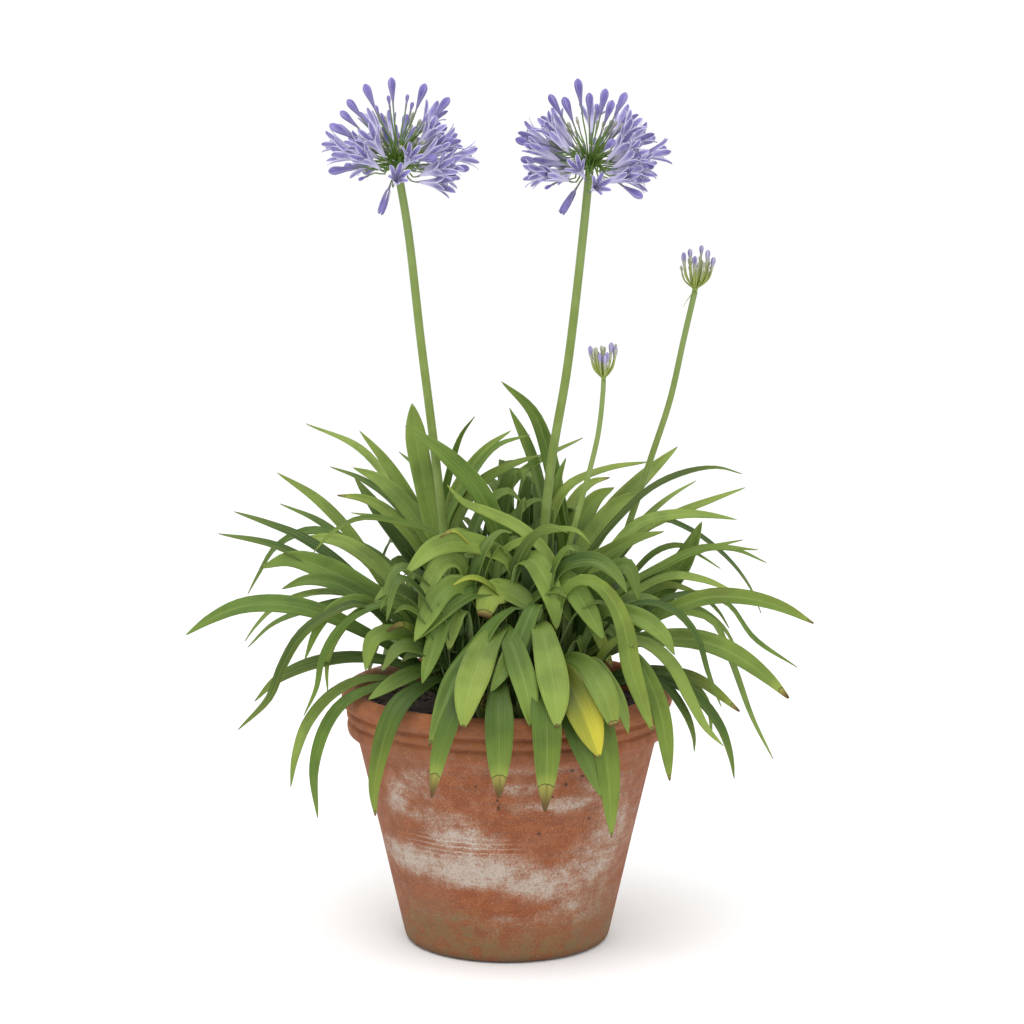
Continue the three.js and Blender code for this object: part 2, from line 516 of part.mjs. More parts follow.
// Follows the wanted direction from the last ring's, twisting no faster than a leaf does.
function nextAcross(last, tangent, wanted, length) {
  const turning = new THREE.Quaternion().setFromUnitVectors(last.tangent, tangent);
  const carried = last.across.clone().applyQuaternion(turning);
  const angle = Math.atan2(carried.clone().cross(wanted).dot(tangent), carried.dot(wanted));
  const most = THREE.MathUtils.degToRad(BLADE.twist) * length;
  return carried.applyAxisAngle(tangent, THREE.MathUtils.clamp(angle, -most, most));
}

// One strap leaf: a long blade of two edges and a keel, with its edges raised above the keel.
function makeBlade(points, width, turn) {
  const curve = curveThrough(points);
  const heading = points.at(-1).clone().sub(points[0]).setZ(0).normalize();
  const level = heading.clone().cross(new THREE.Vector3(0, 0, 1));
  const rings = [];
  let last = null;
  for (const share of ringShares(curve)) {
    const centre = curve.getPointAt(share);
    const tangent = curve.getTangentAt(share);
    const wanted = wantedAcross(centre, tangent, level, turn);
    const length = last ? (share - last.share) * curve.getLength() : 0;
    const across = last ? nextAcross(last, tangent, wanted, length) : wanted;
    const face = across.clone().cross(tangent);
    const half = bladeShape(share, width) / 2;
    const thick = BLADE.thick * (1 - 0.35 * share);
    const dip = BLADE.dip * 2 * half;
    rings.push([
      centre.clone().addScaledVector(across, -half).addScaledVector(face, dip),
      centre.clone().addScaledVector(across, half).addScaledVector(face, dip),
      centre.clone().addScaledVector(face, -thick),
    ]);
    last = { share, tangent, across };
  }
  rings.push([points.at(-1)]);
  return loft(rings);
}

// A leaf that the front hides: it rises from its crown, arches over and drops its tip.
function hiddenLeaf(rule, place, draw) {
  const { layer } = CROWNS[rule.fan - 1];
  const back = rule.back ? draw(...rule.back) : 0;
  const widest = rule.back ? LAYER_SPREAD * (back / layer - 1) : 1;
  const side = widest * rule.side * ((2 * (place + draw(0.35, 0.65))) / rule.count - 1);
  const endLayer = rule.back ? back / (1 + Math.abs(side) / LAYER_SPREAD) : layer + draw(-8, 8);
  const apex = draw(...rule.apex);
  const tip = Math.min(draw(...rule.tip), apex);
  const spread = [0.34, 0.62, 0.84, 1];
  const heights = [apex * 0.8, apex, THREE.MathUtils.lerp(apex, tip, 0.4), tip];
  const points = spread.map((share, i) => {
    const x = side * share;
    const y = layerDepth(THREE.MathUtils.lerp(layer, endLayer, share), x);
    const overRim = Math.hypot(x, y) > RIM_PASS.inside && Math.hypot(x, y) < RIM_PASS.outside;
    const lowest = overRim ? POT.height + RIM_PASS.above : 0;
    return new THREE.Vector3(x, y, Math.max(lowest, SOIL.top + heights[i]));
  });
  return { fan: rule.fan, width: draw(...rule.width), turn: 0, points };
}

// Every blade, with the roots of a fan spread evenly along its crown in the order of their leaves.
function listBlades() {
  const blades = LEAVES.map((row) => (
    { fan: row[0], width: row[1], turn: row[2], points: leafRoute(row) }
  ));
  const draw = makeDraw(HIDDEN_SEED);
  for (const rule of HIDDEN_LEAVES) {
    for (let i = 0; i < rule.count; i += 1) blades.push(hiddenLeaf(rule, i, draw));
  }
  CROWNS.forEach((crown, i) => {
    const own = blades.filter((blade) => blade.fan === i + 1).sort((a, b) => a.points[0].x - b.points[0].x);
    own.forEach((blade, place) => {
      const rootX = (crown.half - 6) * ((2 * place) / (own.length - 1) - 1);
      blade.points = rootedRoute(blade.points, crown, rootX);
    });
  });
  return blades;
}

function makeFan(number, blades) {
  const own = blades.filter((blade) => blade.fan === number);
  const solids = own.map((blade) => makeBlade(blade.points, blade.width, blade.turn));
  return mainBody(joinAll([makeCrown(CROWNS[number - 1]), ...solids]));
}

// ---- Scapes and umbels --------------------------------------------------------------------------

function scapePoints({ layer, route }) {
  const points = route.map(([across, up]) => inLayer(across, up, layer));
  const foot = points[0].clone().setZ(SOIL.top - SCAPE.sink);
  return [foot, ...points];
}

function tubeAlong(points, radii, sides) {
  const curve = curveThrough(points);
  const front = new THREE.Vector3(0, 1, 0);
  const steps = points.length + 2;
  const rings = [];
  for (let i = 0; i <= steps; i += 1) {
    const share = i / steps;
    const radius = THREE.MathUtils.lerp(radii[0], radii[1], share);
    rings.push(ringAround(curve.getPointAt(share), curve.getTangentAt(share), front, radius, sides));
  }
  return loft(rings);
}

function anySide(axis) {
  return Math.abs(axis.z) > 0.9 ? new THREE.Vector3(1, 0, 0) : new THREE.Vector3(0, 0, 1);
}

// A six-pointed trumpet: narrow tube, spread tepals with notches between them, and a hollow throat.
function openFloret(base, axis) {
  const side = anySide(axis);
  const at = (distance) => base.clone().addScaledVector(axis, distance);
  const { floret, mouth, throat } = UMBEL;
  const tips = ringAround(at(floret * 0.93), axis, side, mouth, 6);
  const notches = ringAround(at(floret * 0.62), axis, side, mouth * 0.42, 6, Math.PI / 6);
  const tube = ringAround(at(floret * 0.3), axis, side, throat, 6);
  const points = [at(-2), ...tube, ...tips, ...notches, at(floret * 0.42)];
  const [foot, firstTube, firstTip, firstNotch, heart] = [0, 1, 7, 13, 19];
  const index = [];
  for (let i = 0; i < 6; i += 1) {
    const next = (i + 1) % 6;
    const [tube0, tube1] = [firstTube + i, firstTube + next];
    const [tip0, tip1, notch] = [firstTip + i, firstTip + next, firstNotch + i];
    index.push(foot, tube1, tube0, tube0, notch, tip0, tube0, tube1, notch, tube1, tip1, notch);
    index.push(tip0, notch, heart, notch, tip1, heart);
  }
  return closedSolid(points.flatMap((point) => point.toArray()), index);
}

// A stalk and the bud at its end, in one piece.
function stalkedBud(start, base, axis, length, radius) {
  const side = anySide(axis);
  const ringAt = (distance, size) => (
    ringAround(base.clone().addScaledVector(axis, distance), axis, side, size, UMBEL.budSides)
  );
  return loft([
    ringAround(start, axis, side, UMBEL.pedicel, UMBEL.budSides), ringAt(0, UMBEL.pedicel),
    ringAt(length * 0.62, radius), [base.clone().addScaledVector(axis, length)],
  ]);
}

// Where each floret and bud of an umbel ends, with the hidden back half filled by rule.
function umbelEnds({ heads, backOpen, backBuds, backLift, seed }) {
  const draw = makeDraw(seed);
  const reach = Math.hypot(...heads[0].slice(1));
  const count = backOpen + backBuds;
  const kinds = backOpen > 0 ? ['open', 'bud'] : ['young', 'young'];
  const back = Array.from({ length: count }, (_, i) => {
    const azimuth = Math.PI * ((i + 0.5) / count) + draw(-0.12, 0.12);
    const lift = draw(...backLift) * reach;
    const out = Math.sqrt(reach * reach * 0.9 - lift * lift);
    return [kinds[i % 2], out * Math.cos(azimuth), lift, out * Math.sin(azimuth)];
  });
  return [...heads, ...back];
}

function makeUmbel(umbel) {
  const scape = SCAPES[umbel.scape];
  const top = scapePoints(scape).at(-1);
  const hubRadius = UMBEL.hub * (scape.radius[1] / SCAPES.scape_left.radius[1]);
  const hub = top.clone().add(new THREE.Vector3(0, 0, hubRadius * 0.8));
  const hubBall = new THREE.SphereGeometry(hubRadius, UMBEL.hubSides, 5);
  hubBall.rotateX(Math.PI / 2);
  hubBall.translate(hub.x, hub.y, hub.z);
  const seat = curveThrough(scapePoints(scape)).getTangentAt(1);
  const pieces = [solidFromGeometry(hubBall).trimByPlane(seat.toArray(), top.dot(seat) + SCAPE.gap)];
  for (const [kind, across, up, back] of umbelEnds(umbel)) {
    const end = hub.clone().add(new THREE.Vector3(across, back, up));
    const axis = end.clone().sub(hub).normalize();
    const base = end.clone().addScaledVector(axis, -FAR_END[kind]);
    const leaving = axis.clone().setZ(Math.max(axis.z, UMBEL.lowestLeaving)).normalize();
    const start = hub.clone().addScaledVector(leaving, hubRadius * 0.6);
    if (kind === 'open') {
      const rings = [start, base].map((centre) => ringAround(centre, axis, anySide(axis), UMBEL.pedicel, 3));
      pieces.push(loft(rings), openFloret(base, axis));
    } else {
      pieces.push(stalkedBud(start, base, axis, FAR_END[kind], BUD_RADIUS[kind]));
    }
  }
  return mainBody(joinAll(pieces));
}

// ---- Assembly -----------------------------------------------------------------------------------

const group = new THREE.Group();

function addPiece(name, solid, [colour, roughness]) {
  const material = new THREE.MeshStandardMaterial({ color: colour, roughness, metalness: 0 });
  const mesh = new THREE.Mesh(geometryFromSolid(solid), material);
  mesh.name = name;
  group.add(mesh);
}

const blades = listBlades();
let soil = makeSoil();
for (const crown of CROWNS) soil = soil.subtract(makeCrown(crown, CROWN.gap));
for (const scape of Object.values(SCAPES)) {
  const [foot] = scapePoints(scape);
  soil = soil.subtract(upright(scape.radius[0] + 2, foot.z - SCAPE.gap, SOIL.top + 40, foot.x, foot.y));
}
addPiece('pot', makePot(), COLOURS.pot);
addPiece('soil', soil, COLOURS.soil);
CROWNS.forEach((_, i) => addPiece(`leaf_fan_${i + 1}`, makeFan(i + 1, blades), COLOURS.leaf));
for (const [name, scape] of Object.entries(SCAPES)) {
  addPiece(name, tubeAlong(scapePoints(scape), scape.radius, SCAPE.sides), COLOURS.scape);
}
for (const [name, umbel] of Object.entries(UMBELS)) {
  addPiece(name, makeUmbel(umbel), name.startsWith('bud') ? COLOURS.bud : COLOURS.umbel);
}

export default group;
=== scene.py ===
# %% [markdown]
# # An agapanthus in its terracotta pot
#
# The plant is an African lily: six crowns of strap leaves, four bare flower stalks, two open umbels and two
# umbels still in bud, all growing from one thrown clay pot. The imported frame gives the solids, their places
# and their one body. This lesson dresses them: finer pieces of the same form replace each solid, and one more
# piece, the young leaves that fill the heart, has no solid of its own.

# %% Load the frame and note its size
import math
from functools import partial

import bmesh
import bpy
from mathutils import Matrix, Quaternion, Vector, noise


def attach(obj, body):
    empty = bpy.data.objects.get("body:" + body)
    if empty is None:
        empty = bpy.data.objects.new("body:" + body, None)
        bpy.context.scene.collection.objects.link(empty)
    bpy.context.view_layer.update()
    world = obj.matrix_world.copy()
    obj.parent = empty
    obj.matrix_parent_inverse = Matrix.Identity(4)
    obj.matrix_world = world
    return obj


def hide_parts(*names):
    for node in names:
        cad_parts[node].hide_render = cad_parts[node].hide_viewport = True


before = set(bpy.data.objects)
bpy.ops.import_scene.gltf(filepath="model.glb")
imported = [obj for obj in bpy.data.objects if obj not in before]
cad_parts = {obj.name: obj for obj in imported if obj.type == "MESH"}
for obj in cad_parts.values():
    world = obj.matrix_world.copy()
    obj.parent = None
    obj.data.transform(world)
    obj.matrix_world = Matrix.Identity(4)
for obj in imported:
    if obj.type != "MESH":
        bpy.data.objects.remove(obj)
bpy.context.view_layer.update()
MM = 0.001                      # everything below is modelled in millimetres and scaled by this at the end
print("frame nodes:", len(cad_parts))

# %% [markdown]
# ## The camera
# The plant is seen from a standing eye about three metres away, through a long lens, so its lines stay nearly
# parallel. The eye and the tilt are also what the leaves are set out from, so they come first and are named.

# %% Camera
EYE = Vector((5.0, -2952.0, 902.4))
BOARD = 3000.0                  # distance from the eye to the drawing plane that the leaves are laid out on
TILT = math.radians(9.0)
SENSOR_MM = 36.0
FRAME_MM = 1024.0               # width of the drawing plane that the frame takes in

lens = bpy.data.cameras.new("standing_eye")
lens.sensor_width = SENSOR_MM
lens.lens = BOARD / FRAME_MM * SENSOR_MM
lens.clip_end = 50.0
camera = bpy.data.objects.new("standing_eye", lens)
camera.location = EYE * MM
camera.rotation_euler = (math.pi / 2 - TILT, 0.0, 0.0)
bpy.context.scene.collection.objects.link(camera)
bpy.context.scene.camera = camera
print("lens", round(lens.lens, 1), "mm")

# %% [markdown]
# ## Small helpers
# Colours are written as the sRGB hex codes a colour picker shows, and one function turns them to the linear
# light that the shader works in. One more adds a shader node with its settings and links in a single line. It
# looks the node up in a table of short words, so that a material reads as what it does.

# %% Colour and node helpers
# Word: node, its inputs in the order they are given, the output handed on (None for all), and its settings.
NODES = {
    "mix": ("Mix", (0, 6, 7), 2, {"data_type": "RGBA"}),
    "between": ("Mix", (0, 2, 3), 0, {"data_type": "FLOAT"}),
    # A smooth step: the value, where it begins and ends, and what it gives below and above (0 and 1).
    "step": ("MapRange", (0, 1, 2, 3, 4), 0, {"interpolation_type": "SMOOTHSTEP"}),
    "noise": ("TexNoise", ("Vector", "Scale", "Detail", "Roughness"), "Fac", {}),
    "cells": ("TexVoronoi", ("Vector", "Scale"), "Distance", {}),
    "object_place": ("TexCoord", (), "Object", {}),
    "mesh_vector": ("Attribute", (), "Vector", {}),
    "mesh_number": ("Attribute", (), "Fac", {}),
    "split": ("SeparateXYZ", (0,), None, {}),
    "join": ("CombineXYZ", (0, 1, 2), 0, {}),
    "move": ("Mapping", ("Vector", "Location"), 0, {}),
    "stretch": ("Mapping", ("Vector", "Scale"), 0, {}),
    "each_times": ("VectorMath", (0, 1), 0, {"operation": "MULTIPLY"}),
    "length": ("VectorMath", (0,), "Value", {"operation": "LENGTH"}),
    "bump": ("Bump", ("Strength", "Distance", "Height", "Normal"), 0, {}),
}
for word in ("add", "subtract", "multiply", "divide", "maximum", "minimum", "sine", "absolute"):
    NODES[word] = ("Math", (0, 1), 0, {"operation": word.upper()})


def linear(code):
    """The linear RGBA of an sRGB hex colour."""
    channels = [int(code[i:i + 2], 16) / 255 for i in (1, 3, 5)]
    return [c / 12.92 if c <= 0.04045 else ((c + 0.055) / 1.055) ** 2.4 for c in channels] + [1.0]


def fill(node, inputs):
    """Links or sets a node's inputs. A hex code is turned to linear light."""
    for name, value in inputs.items():
        if isinstance(value, bpy.types.NodeSocket):
            node.id_data.links.new(value, node.inputs[name])
        else:
            node.inputs[name].default_value = linear(value) if isinstance(value, str) else value


def add(tree, word, *values, **settings):
    """Adds the node that a word stands for, sets and fills it, and hands on its output."""
    kind, names, output, fixed = NODES[word]
    made = tree.nodes.new("ShaderNode" + kind)
    for name, value in {**fixed, **settings}.items():
        setattr(made, name, value)
    fill(made, dict(zip(names, values)))
    return made.outputs if output is None else made.outputs[output]


def new_finish(name, roughness, ior=1.45):
    """A material, the add function for its nodes, and its one shader."""
    material = bpy.data.materials.new(name)
    material.use_nodes = True
    shader = material.node_tree.nodes["Principled BSDF"]
    fill(shader, {"Roughness": roughness, "IOR": ior})
    return material, partial(add, material.node_tree), shader


print("helpers ready; mid green is", [round(c, 3) for c in linear("#6f9447")[:3]])

# %% [markdown]
# ## Floor and light
# A pale sweep of paper and broad soft lamps: one large lamp high in front for the even light of a cloudy day,
# a weaker one at the side so that round forms turn, and a bright sky that fills the shadows.

# %% Floor and lamps
def make_floor():
    bm = bmesh.new()
    bmesh.ops.create_grid(bm, x_segments=1, y_segments=1, size=20.0)
    mesh = bpy.data.meshes.new("paper_floor")
    bm.to_mesh(mesh)
    bm.free()
    floor = bpy.data.objects.new("paper_floor", mesh)
    bpy.context.scene.collection.objects.link(floor)
    material, _, shader = new_finish("matt_white_paper", 0.9)
    fill(shader, {"Base Color": "#fcfcfc"})
    mesh.materials.append(material)


def make_lamp(name, place, aim, size, power):
    lamp = bpy.data.lights.new(name, "AREA")
    lamp.shape = "DISK"
    lamp.size = size
    lamp.energy = power
    holder = bpy.data.objects.new(name, lamp)
    holder.location = place
    holder.rotation_euler = (Vector(aim) - Vector(place)).to_track_quat("-Z", "Y").to_euler()
    bpy.context.scene.collection.objects.link(holder)


make_floor()
make_lamp("overhead_softbox", (-0.4, -1.0, 3.2), (0.0, 0.0, 0.4), 3.2, 52.0)
make_lamp("front_softbox", (0.9, -3.4, 1.9), (0.0, 0.0, 0.45), 1.6, 14.0)
sky = bpy.data.worlds.new("white_sky")
sky.use_nodes = True
fill(sky.node_tree.nodes["Background"], {"Color": "#ffffff", "Strength": 1.04})
bpy.context.scene.world = sky
bpy.context.scene.view_settings.view_transform = "Standard"     # colours show as given, white as white

# %% [markdown]
# ## Building blocks
# Nearly every piece of a plant is a long thing swept along a curve: a blade, a stalk, a petal. So one helper
# lays a grid and moves each of its corners to where a rule puts it. A second one closes such a grid into a
# tube. A smooth curve through given points guides them, and it is walked by true length.

# %% Curves and sheets
def clamp(value, low, high):
    return min(max(value, low), high)


def lerp(a, b, share):
    return a + (b - a) * share


class Route:
    """A smooth curve through points, sampled finely and measured along its length."""

    FINE = 14

    def __init__(self, points):
        points = [Vector(p) for p in points]
        ends = [2 * points[0] - points[1], 2 * points[-1] - points[-2]]
        knots = [ends[0], *points, ends[1]]
        self.points = [points[0]]
        for i in range(len(points) - 1):
            self.points += self.span(*knots[i:i + 4])
        self.reach = [0.0]
        for a, b in zip(self.points, self.points[1:]):
            self.reach.append(self.reach[-1] + (b - a).length)
        self.length = self.reach[-1]

    def span(self, p0, p1, p2, p3):
        """The centripetal Catmull-Rom stretch from p1 to p2."""
        d0, d1, d2 = (math.sqrt(max((b - a).length, 1e-4)) for a, b in ((p0, p1), (p1, p2), (p2, p3)))
        leave = ((p1 - p0) / d0 - (p2 - p0) / (d0 + d1) + (p2 - p1) / d1) * d1
        arrive = ((p2 - p1) / d1 - (p3 - p1) / (d1 + d2) + (p3 - p2) / d2) * d1
        found = []
        for i in range(1, self.FINE + 1):
            t = i / self.FINE
            found.append(p1 * (2 * t ** 3 - 3 * t * t + 1) + leave * (t ** 3 - 2 * t * t + t)
                         + p2 * (3 * t * t - 2 * t ** 3) + arrive * (t ** 3 - t * t))
        return found

    def at(self, share):
        """The point and the direction of travel at a share of the length."""
        target = min(max(share, 0.0), 1.0) * self.length
        low, high = 0, len(self.reach) - 1
        while high - low > 1:
            middle = (low + high) // 2
            low, high = (middle, high) if self.reach[middle] <= target else (low, middle)
        part = (target - self.reach[low]) / max(self.reach[high] - self.reach[low], 1e-9)
        before, after = max(low - 1, 0), min(high + 1, len(self.points) - 1)
        return (self.points[low].lerp(self.points[high], part),
                (self.points[after] - self.points[before]).normalized())


def sheet(bm, across, along, place):
    """Lays a grid and moves each corner to place(u, v), where u and v run from 0 to 1. place may also give
    what to write in the mesh's attributes, as {layer: value}."""
    corners = bmesh.ops.create_grid(bm, x_segments=across, y_segments=along, size=0.5)["verts"]
    for corner in corners:
        point, facts = place(corner.co.x + 0.5, corner.co.y + 0.5)
        corner.co = point
        for layer, value in facts.items():
            corner[layer] = value
    return corners


def any_side(axis):
    """A direction square to axis."""
    helper = Vector((1, 0, 0)) if abs(axis.z) > 0.9 else Vector((0, 0, 1))
    return axis.cross(helper).normalized()


def tube(bm, route, radius_at, sides, along, layer, tone):
    """A closed tube along a route: a sheet rolled up, its seam and its ends merged."""
    side = any_side(route.at(0.0)[1])
    rings = []
    for i in range(along + 1):
        share = clamp((i - 1) / (along - 2), 0, 1)
        centre, heading = route.at(share)
        side = (side - heading * side.dot(heading)).normalized()
        rings.append((centre, side.copy(), heading.cross(side), share))

    def place(u, v):
        ring = round(v * along)
        centre, right, up, share = rings[ring]
        angle = 2 * math.pi * u
        radius = radius_at(share) if 0 < ring < along else 0.0
        return (centre + right * (radius * math.cos(angle)) + up * (radius * math.sin(angle)),
                {layer: Vector((u, share, tone))})

    corners = sheet(bm, sides, along, place)
    bmesh.ops.remove_doubles(bm, verts=corners, dist=1e-4)


class Draw:
    """A repeatable random draw, by the same rule as the part's own."""

    def __init__(self, seed):
        self.state = seed

    def __call__(self, low=0.0, high=1.0):
        self.state = (self.state * 1664525 + 1013904223) % 2 ** 32
        return low + (high - low) * self.state / 2 ** 32


def finish_piece(name, bm, materials, replaced):
    """Scales the mesh to metres, makes it an object on the root body, and hides the solids it replaces."""
    bmesh.ops.scale(bm, vec=(MM, MM, MM), verts=bm.verts)
    for face in bm.faces:
        face.smooth = True
    mesh = bpy.data.meshes.new(name)
    bm.to_mesh(mesh)
    bm.free()
    for material in materials:
        mesh.materials.append(material)
    piece = bpy.data.objects.new(name, mesh)
    bpy.context.scene.collection.objects.link(piece)
    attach(piece, "root")
    if replaced:
        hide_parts(*replaced)
    print(name, len(mesh.polygons), "faces")
    return piece


print("a test route is", round(Route([(0, 0, 0), (0, 0, 50), (30, 0, 80)]).length, 1), "mm long")

# %% [markdown]
# ## The terracotta pot
# The pot was thrown on a wheel, so it is a shape of revolution: one half outline, drawn from the foot up the
# outside, over the lip and down the inside. Under the rolled lip run two narrow beads with grooves between
# them. The corners of the outline are rounded first, while it is only a line, and then it is spun once round.
# Three drain holes are bored through the floor as a drill would.

# %% The pot's outline and its spin
POT_OUTLINE = [                 # radius and height in millimetres, and how much the corner is rounded
    (0, 0, 0), (96, 0, 0), (102.6, 2.5, 1.5), (104.4, 8, 2.5), (126, 104, 0), (149, 203, 4), (151.5, 209, 2),
    (156, 212, 1.2), (159.6, 214.5, 1.2), (160.8, 219, 1.6), (160.6, 224.5, 1.2), (157.8, 227, 0.7),
    (158, 228.6, 0.7), (161, 230.4, 1.0), (161.4, 235.5, 1.4), (159, 238.4, 0.9), (159.2, 240.2, 0.9),
    (165.2, 242.6, 1.6), (166.4, 247.5, 2.5), (165.8, 254, 2.5), (162.5, 258.4, 2), (158, 260, 1.5),
    (153, 259.6, 2), (149.5, 256, 2), (145, 240, 2), (135, 203, 5), (94, 13, 4), (0, 13, 0),
]
POT_STEPS, SOIL_STEPS = 112, 72     # how many flats a turn of the pot and of its fill has
DRAIN_HOLES = [(48 * math.cos(turn), 48 * math.sin(turn))
               for turn in (math.pi / 6 + math.tau * i / 3 for i in range(3))]


def spun(outline, steps):
    """A shape of revolution: rounds the corners of an outline and spins it once round the upright axis."""
    bm = bmesh.new()
    corners = [bm.verts.new((radius, 0, height)) for radius, height, _ in outline]
    for a, b in zip(corners, corners[1:]):
        bm.edges.new((a, b))
    for corner, (_, _, rounding) in zip(corners, outline):
        if rounding:
            bmesh.ops.bevel(bm, geom=[corner], offset=rounding, offset_type="OFFSET", segments=3, profile=0.5,
                            affect="VERTICES", material=-1)
    bmesh.ops.spin(bm, geom=bm.verts[:] + bm.edges[:], cent=(0, 0, 0), axis=(0, 0, 1), angle=math.tau,
                   steps=steps, use_merge=True)
    bmesh.ops.remove_doubles(bm, verts=bm.verts, dist=1e-3)
    bmesh.ops.recalc_face_normals(bm, faces=bm.faces)
    return bm


def bore(bm, places, radius, low, high):
    """Cuts upright holes through a mesh with a Boolean, and keeps its result."""
    drills = bmesh.new()
    for x, y in places:
        bmesh.ops.create_cone(drills, cap_ends=True, segments=20, radius1=radius, radius2=radius,
                              depth=high - low, matrix=Matrix.Translation((x, y, (low + high) / 2)))
    holders = []
    for name, source in (("blank", bm), ("drill", drills)):
        mesh = bpy.data.meshes.new(name)
        source.to_mesh(mesh)
        holders.append(bpy.data.objects.new(name, mesh))
        bpy.context.scene.collection.objects.link(holders[-1])
    cut = holders[0].modifiers.new("bore", "BOOLEAN")
    cut.object = holders[1]
    cut.operation = "DIFFERENCE"
    view = bpy.context.evaluated_depsgraph_get()
    done = bmesh.new()
    done.from_mesh(holders[0].evaluated_get(view).to_mesh())
    for holder in holders:
        bpy.data.meshes.remove(holder.data)
    drills.free()
    bm.free()
    return done


pot_shape = bore(spun(POT_OUTLINE, POT_STEPS), DRAIN_HOLES, 7, -2, 16)
print("pot corners:", len(pot_shape.verts))

# %% [markdown]
# ## Old terracotta
# The clay is unglazed and fired low, so it is open-pored and dull. Years of watering have drawn salts out
# through the wall as a white bloom, strongest in a band low on the body, and algae have greened the foot. The
# large patches are listed one by one: each is an ellipse that only makes bloom more likely. Noise then
# decides, so the patches break up into grains at their edges as real salts do. On the back, noise takes the
# place of the bloom's ellipses.

# %% Terracotta
# Each patch: centre x and height, half width and half height in millimetres, and strength.
BLOOM = [
    (-88, 192, 20, 18, 0.5), (-106, 168, 12, 26, 0.75), (-84, 150, 22, 13, 0.5), (-40, 134, 52, 15, 0.85),
    (-52, 152, 26, 9, 0.6), (-92, 104, 34, 20, 0.9), (-30, 98, 66, 22, 1.0), (30, 84, 56, 20, 0.85),
    (84, 98, 30, 26, 0.7), (58, 168, 44, 8, 0.75), (96, 184, 22, 10, 0.6), (104, 132, 26, 40, 0.6),
    (14, 188, 30, 7, 0.45), (-6, 50, 90, 9, 0.35), (20, 206, 60, 5, 0.4), (74, 60, 30, 24, 0.5),
]
BARE = [(16, 141, 36, 17, 1.0), (64, 146, 26, 10, 0.7), (-92, 132, 22, 15, 1.0), (-24, 64, 52, 15, 1.0),
        (-78, 70, 24, 16, 0.6), (-96, 206, 20, 10, 0.5)]
ALGAE = [(-62, 34, 44, 24, 0.9), (-20, 14, 70, 12, 0.9), (44, 20, 50, 14, 0.6), (86, 40, 20, 40, 0.5)]
COMBED = (-42, 124, 46, 12, 0.75)   # the tool marks left by the last pass of the rib
COMB_MM = 5.2
PITS = [(63, 204, 2.4, 1.6, 0.9), (73, 197, 2.0, 1.6, 0.9), (57, 190, 1.6, 2.4, 0.9),
        (-8, 168, 1.4, 2.6, 0.9), (31, 140, 1.8, 1.5, 0.9), (-9, 176, 1.2, 1.6, 0.9),
        (44, 178, 1.4, 1.4, 0.9), (-30, 190, 1.3, 1.3, 0.9), (80, 150, 1.4, 1.6, 0.9)]


def per(size):
    """The texture scale at which one feature of a pattern on Object coordinates is size millimetres."""
    return 1000 / size


def patches(node, spot, rows):
    """How far a point is inside ellipses, as met from the front: their strength in the middle, 0 well out."""
    found = None
    for centre_x, height, half_width, half_height, strength in rows:
        moved = node("move", spot, (-centre_x * MM, 0, -height * MM))
        squeezed = node("each_times", moved, (per(half_width), 0, per(half_height)))
        inside = node("step", node("length", squeezed), 0.2, 1.6, strength, 0.0)
        found = node("maximum", found, inside) if found else inside
    return found


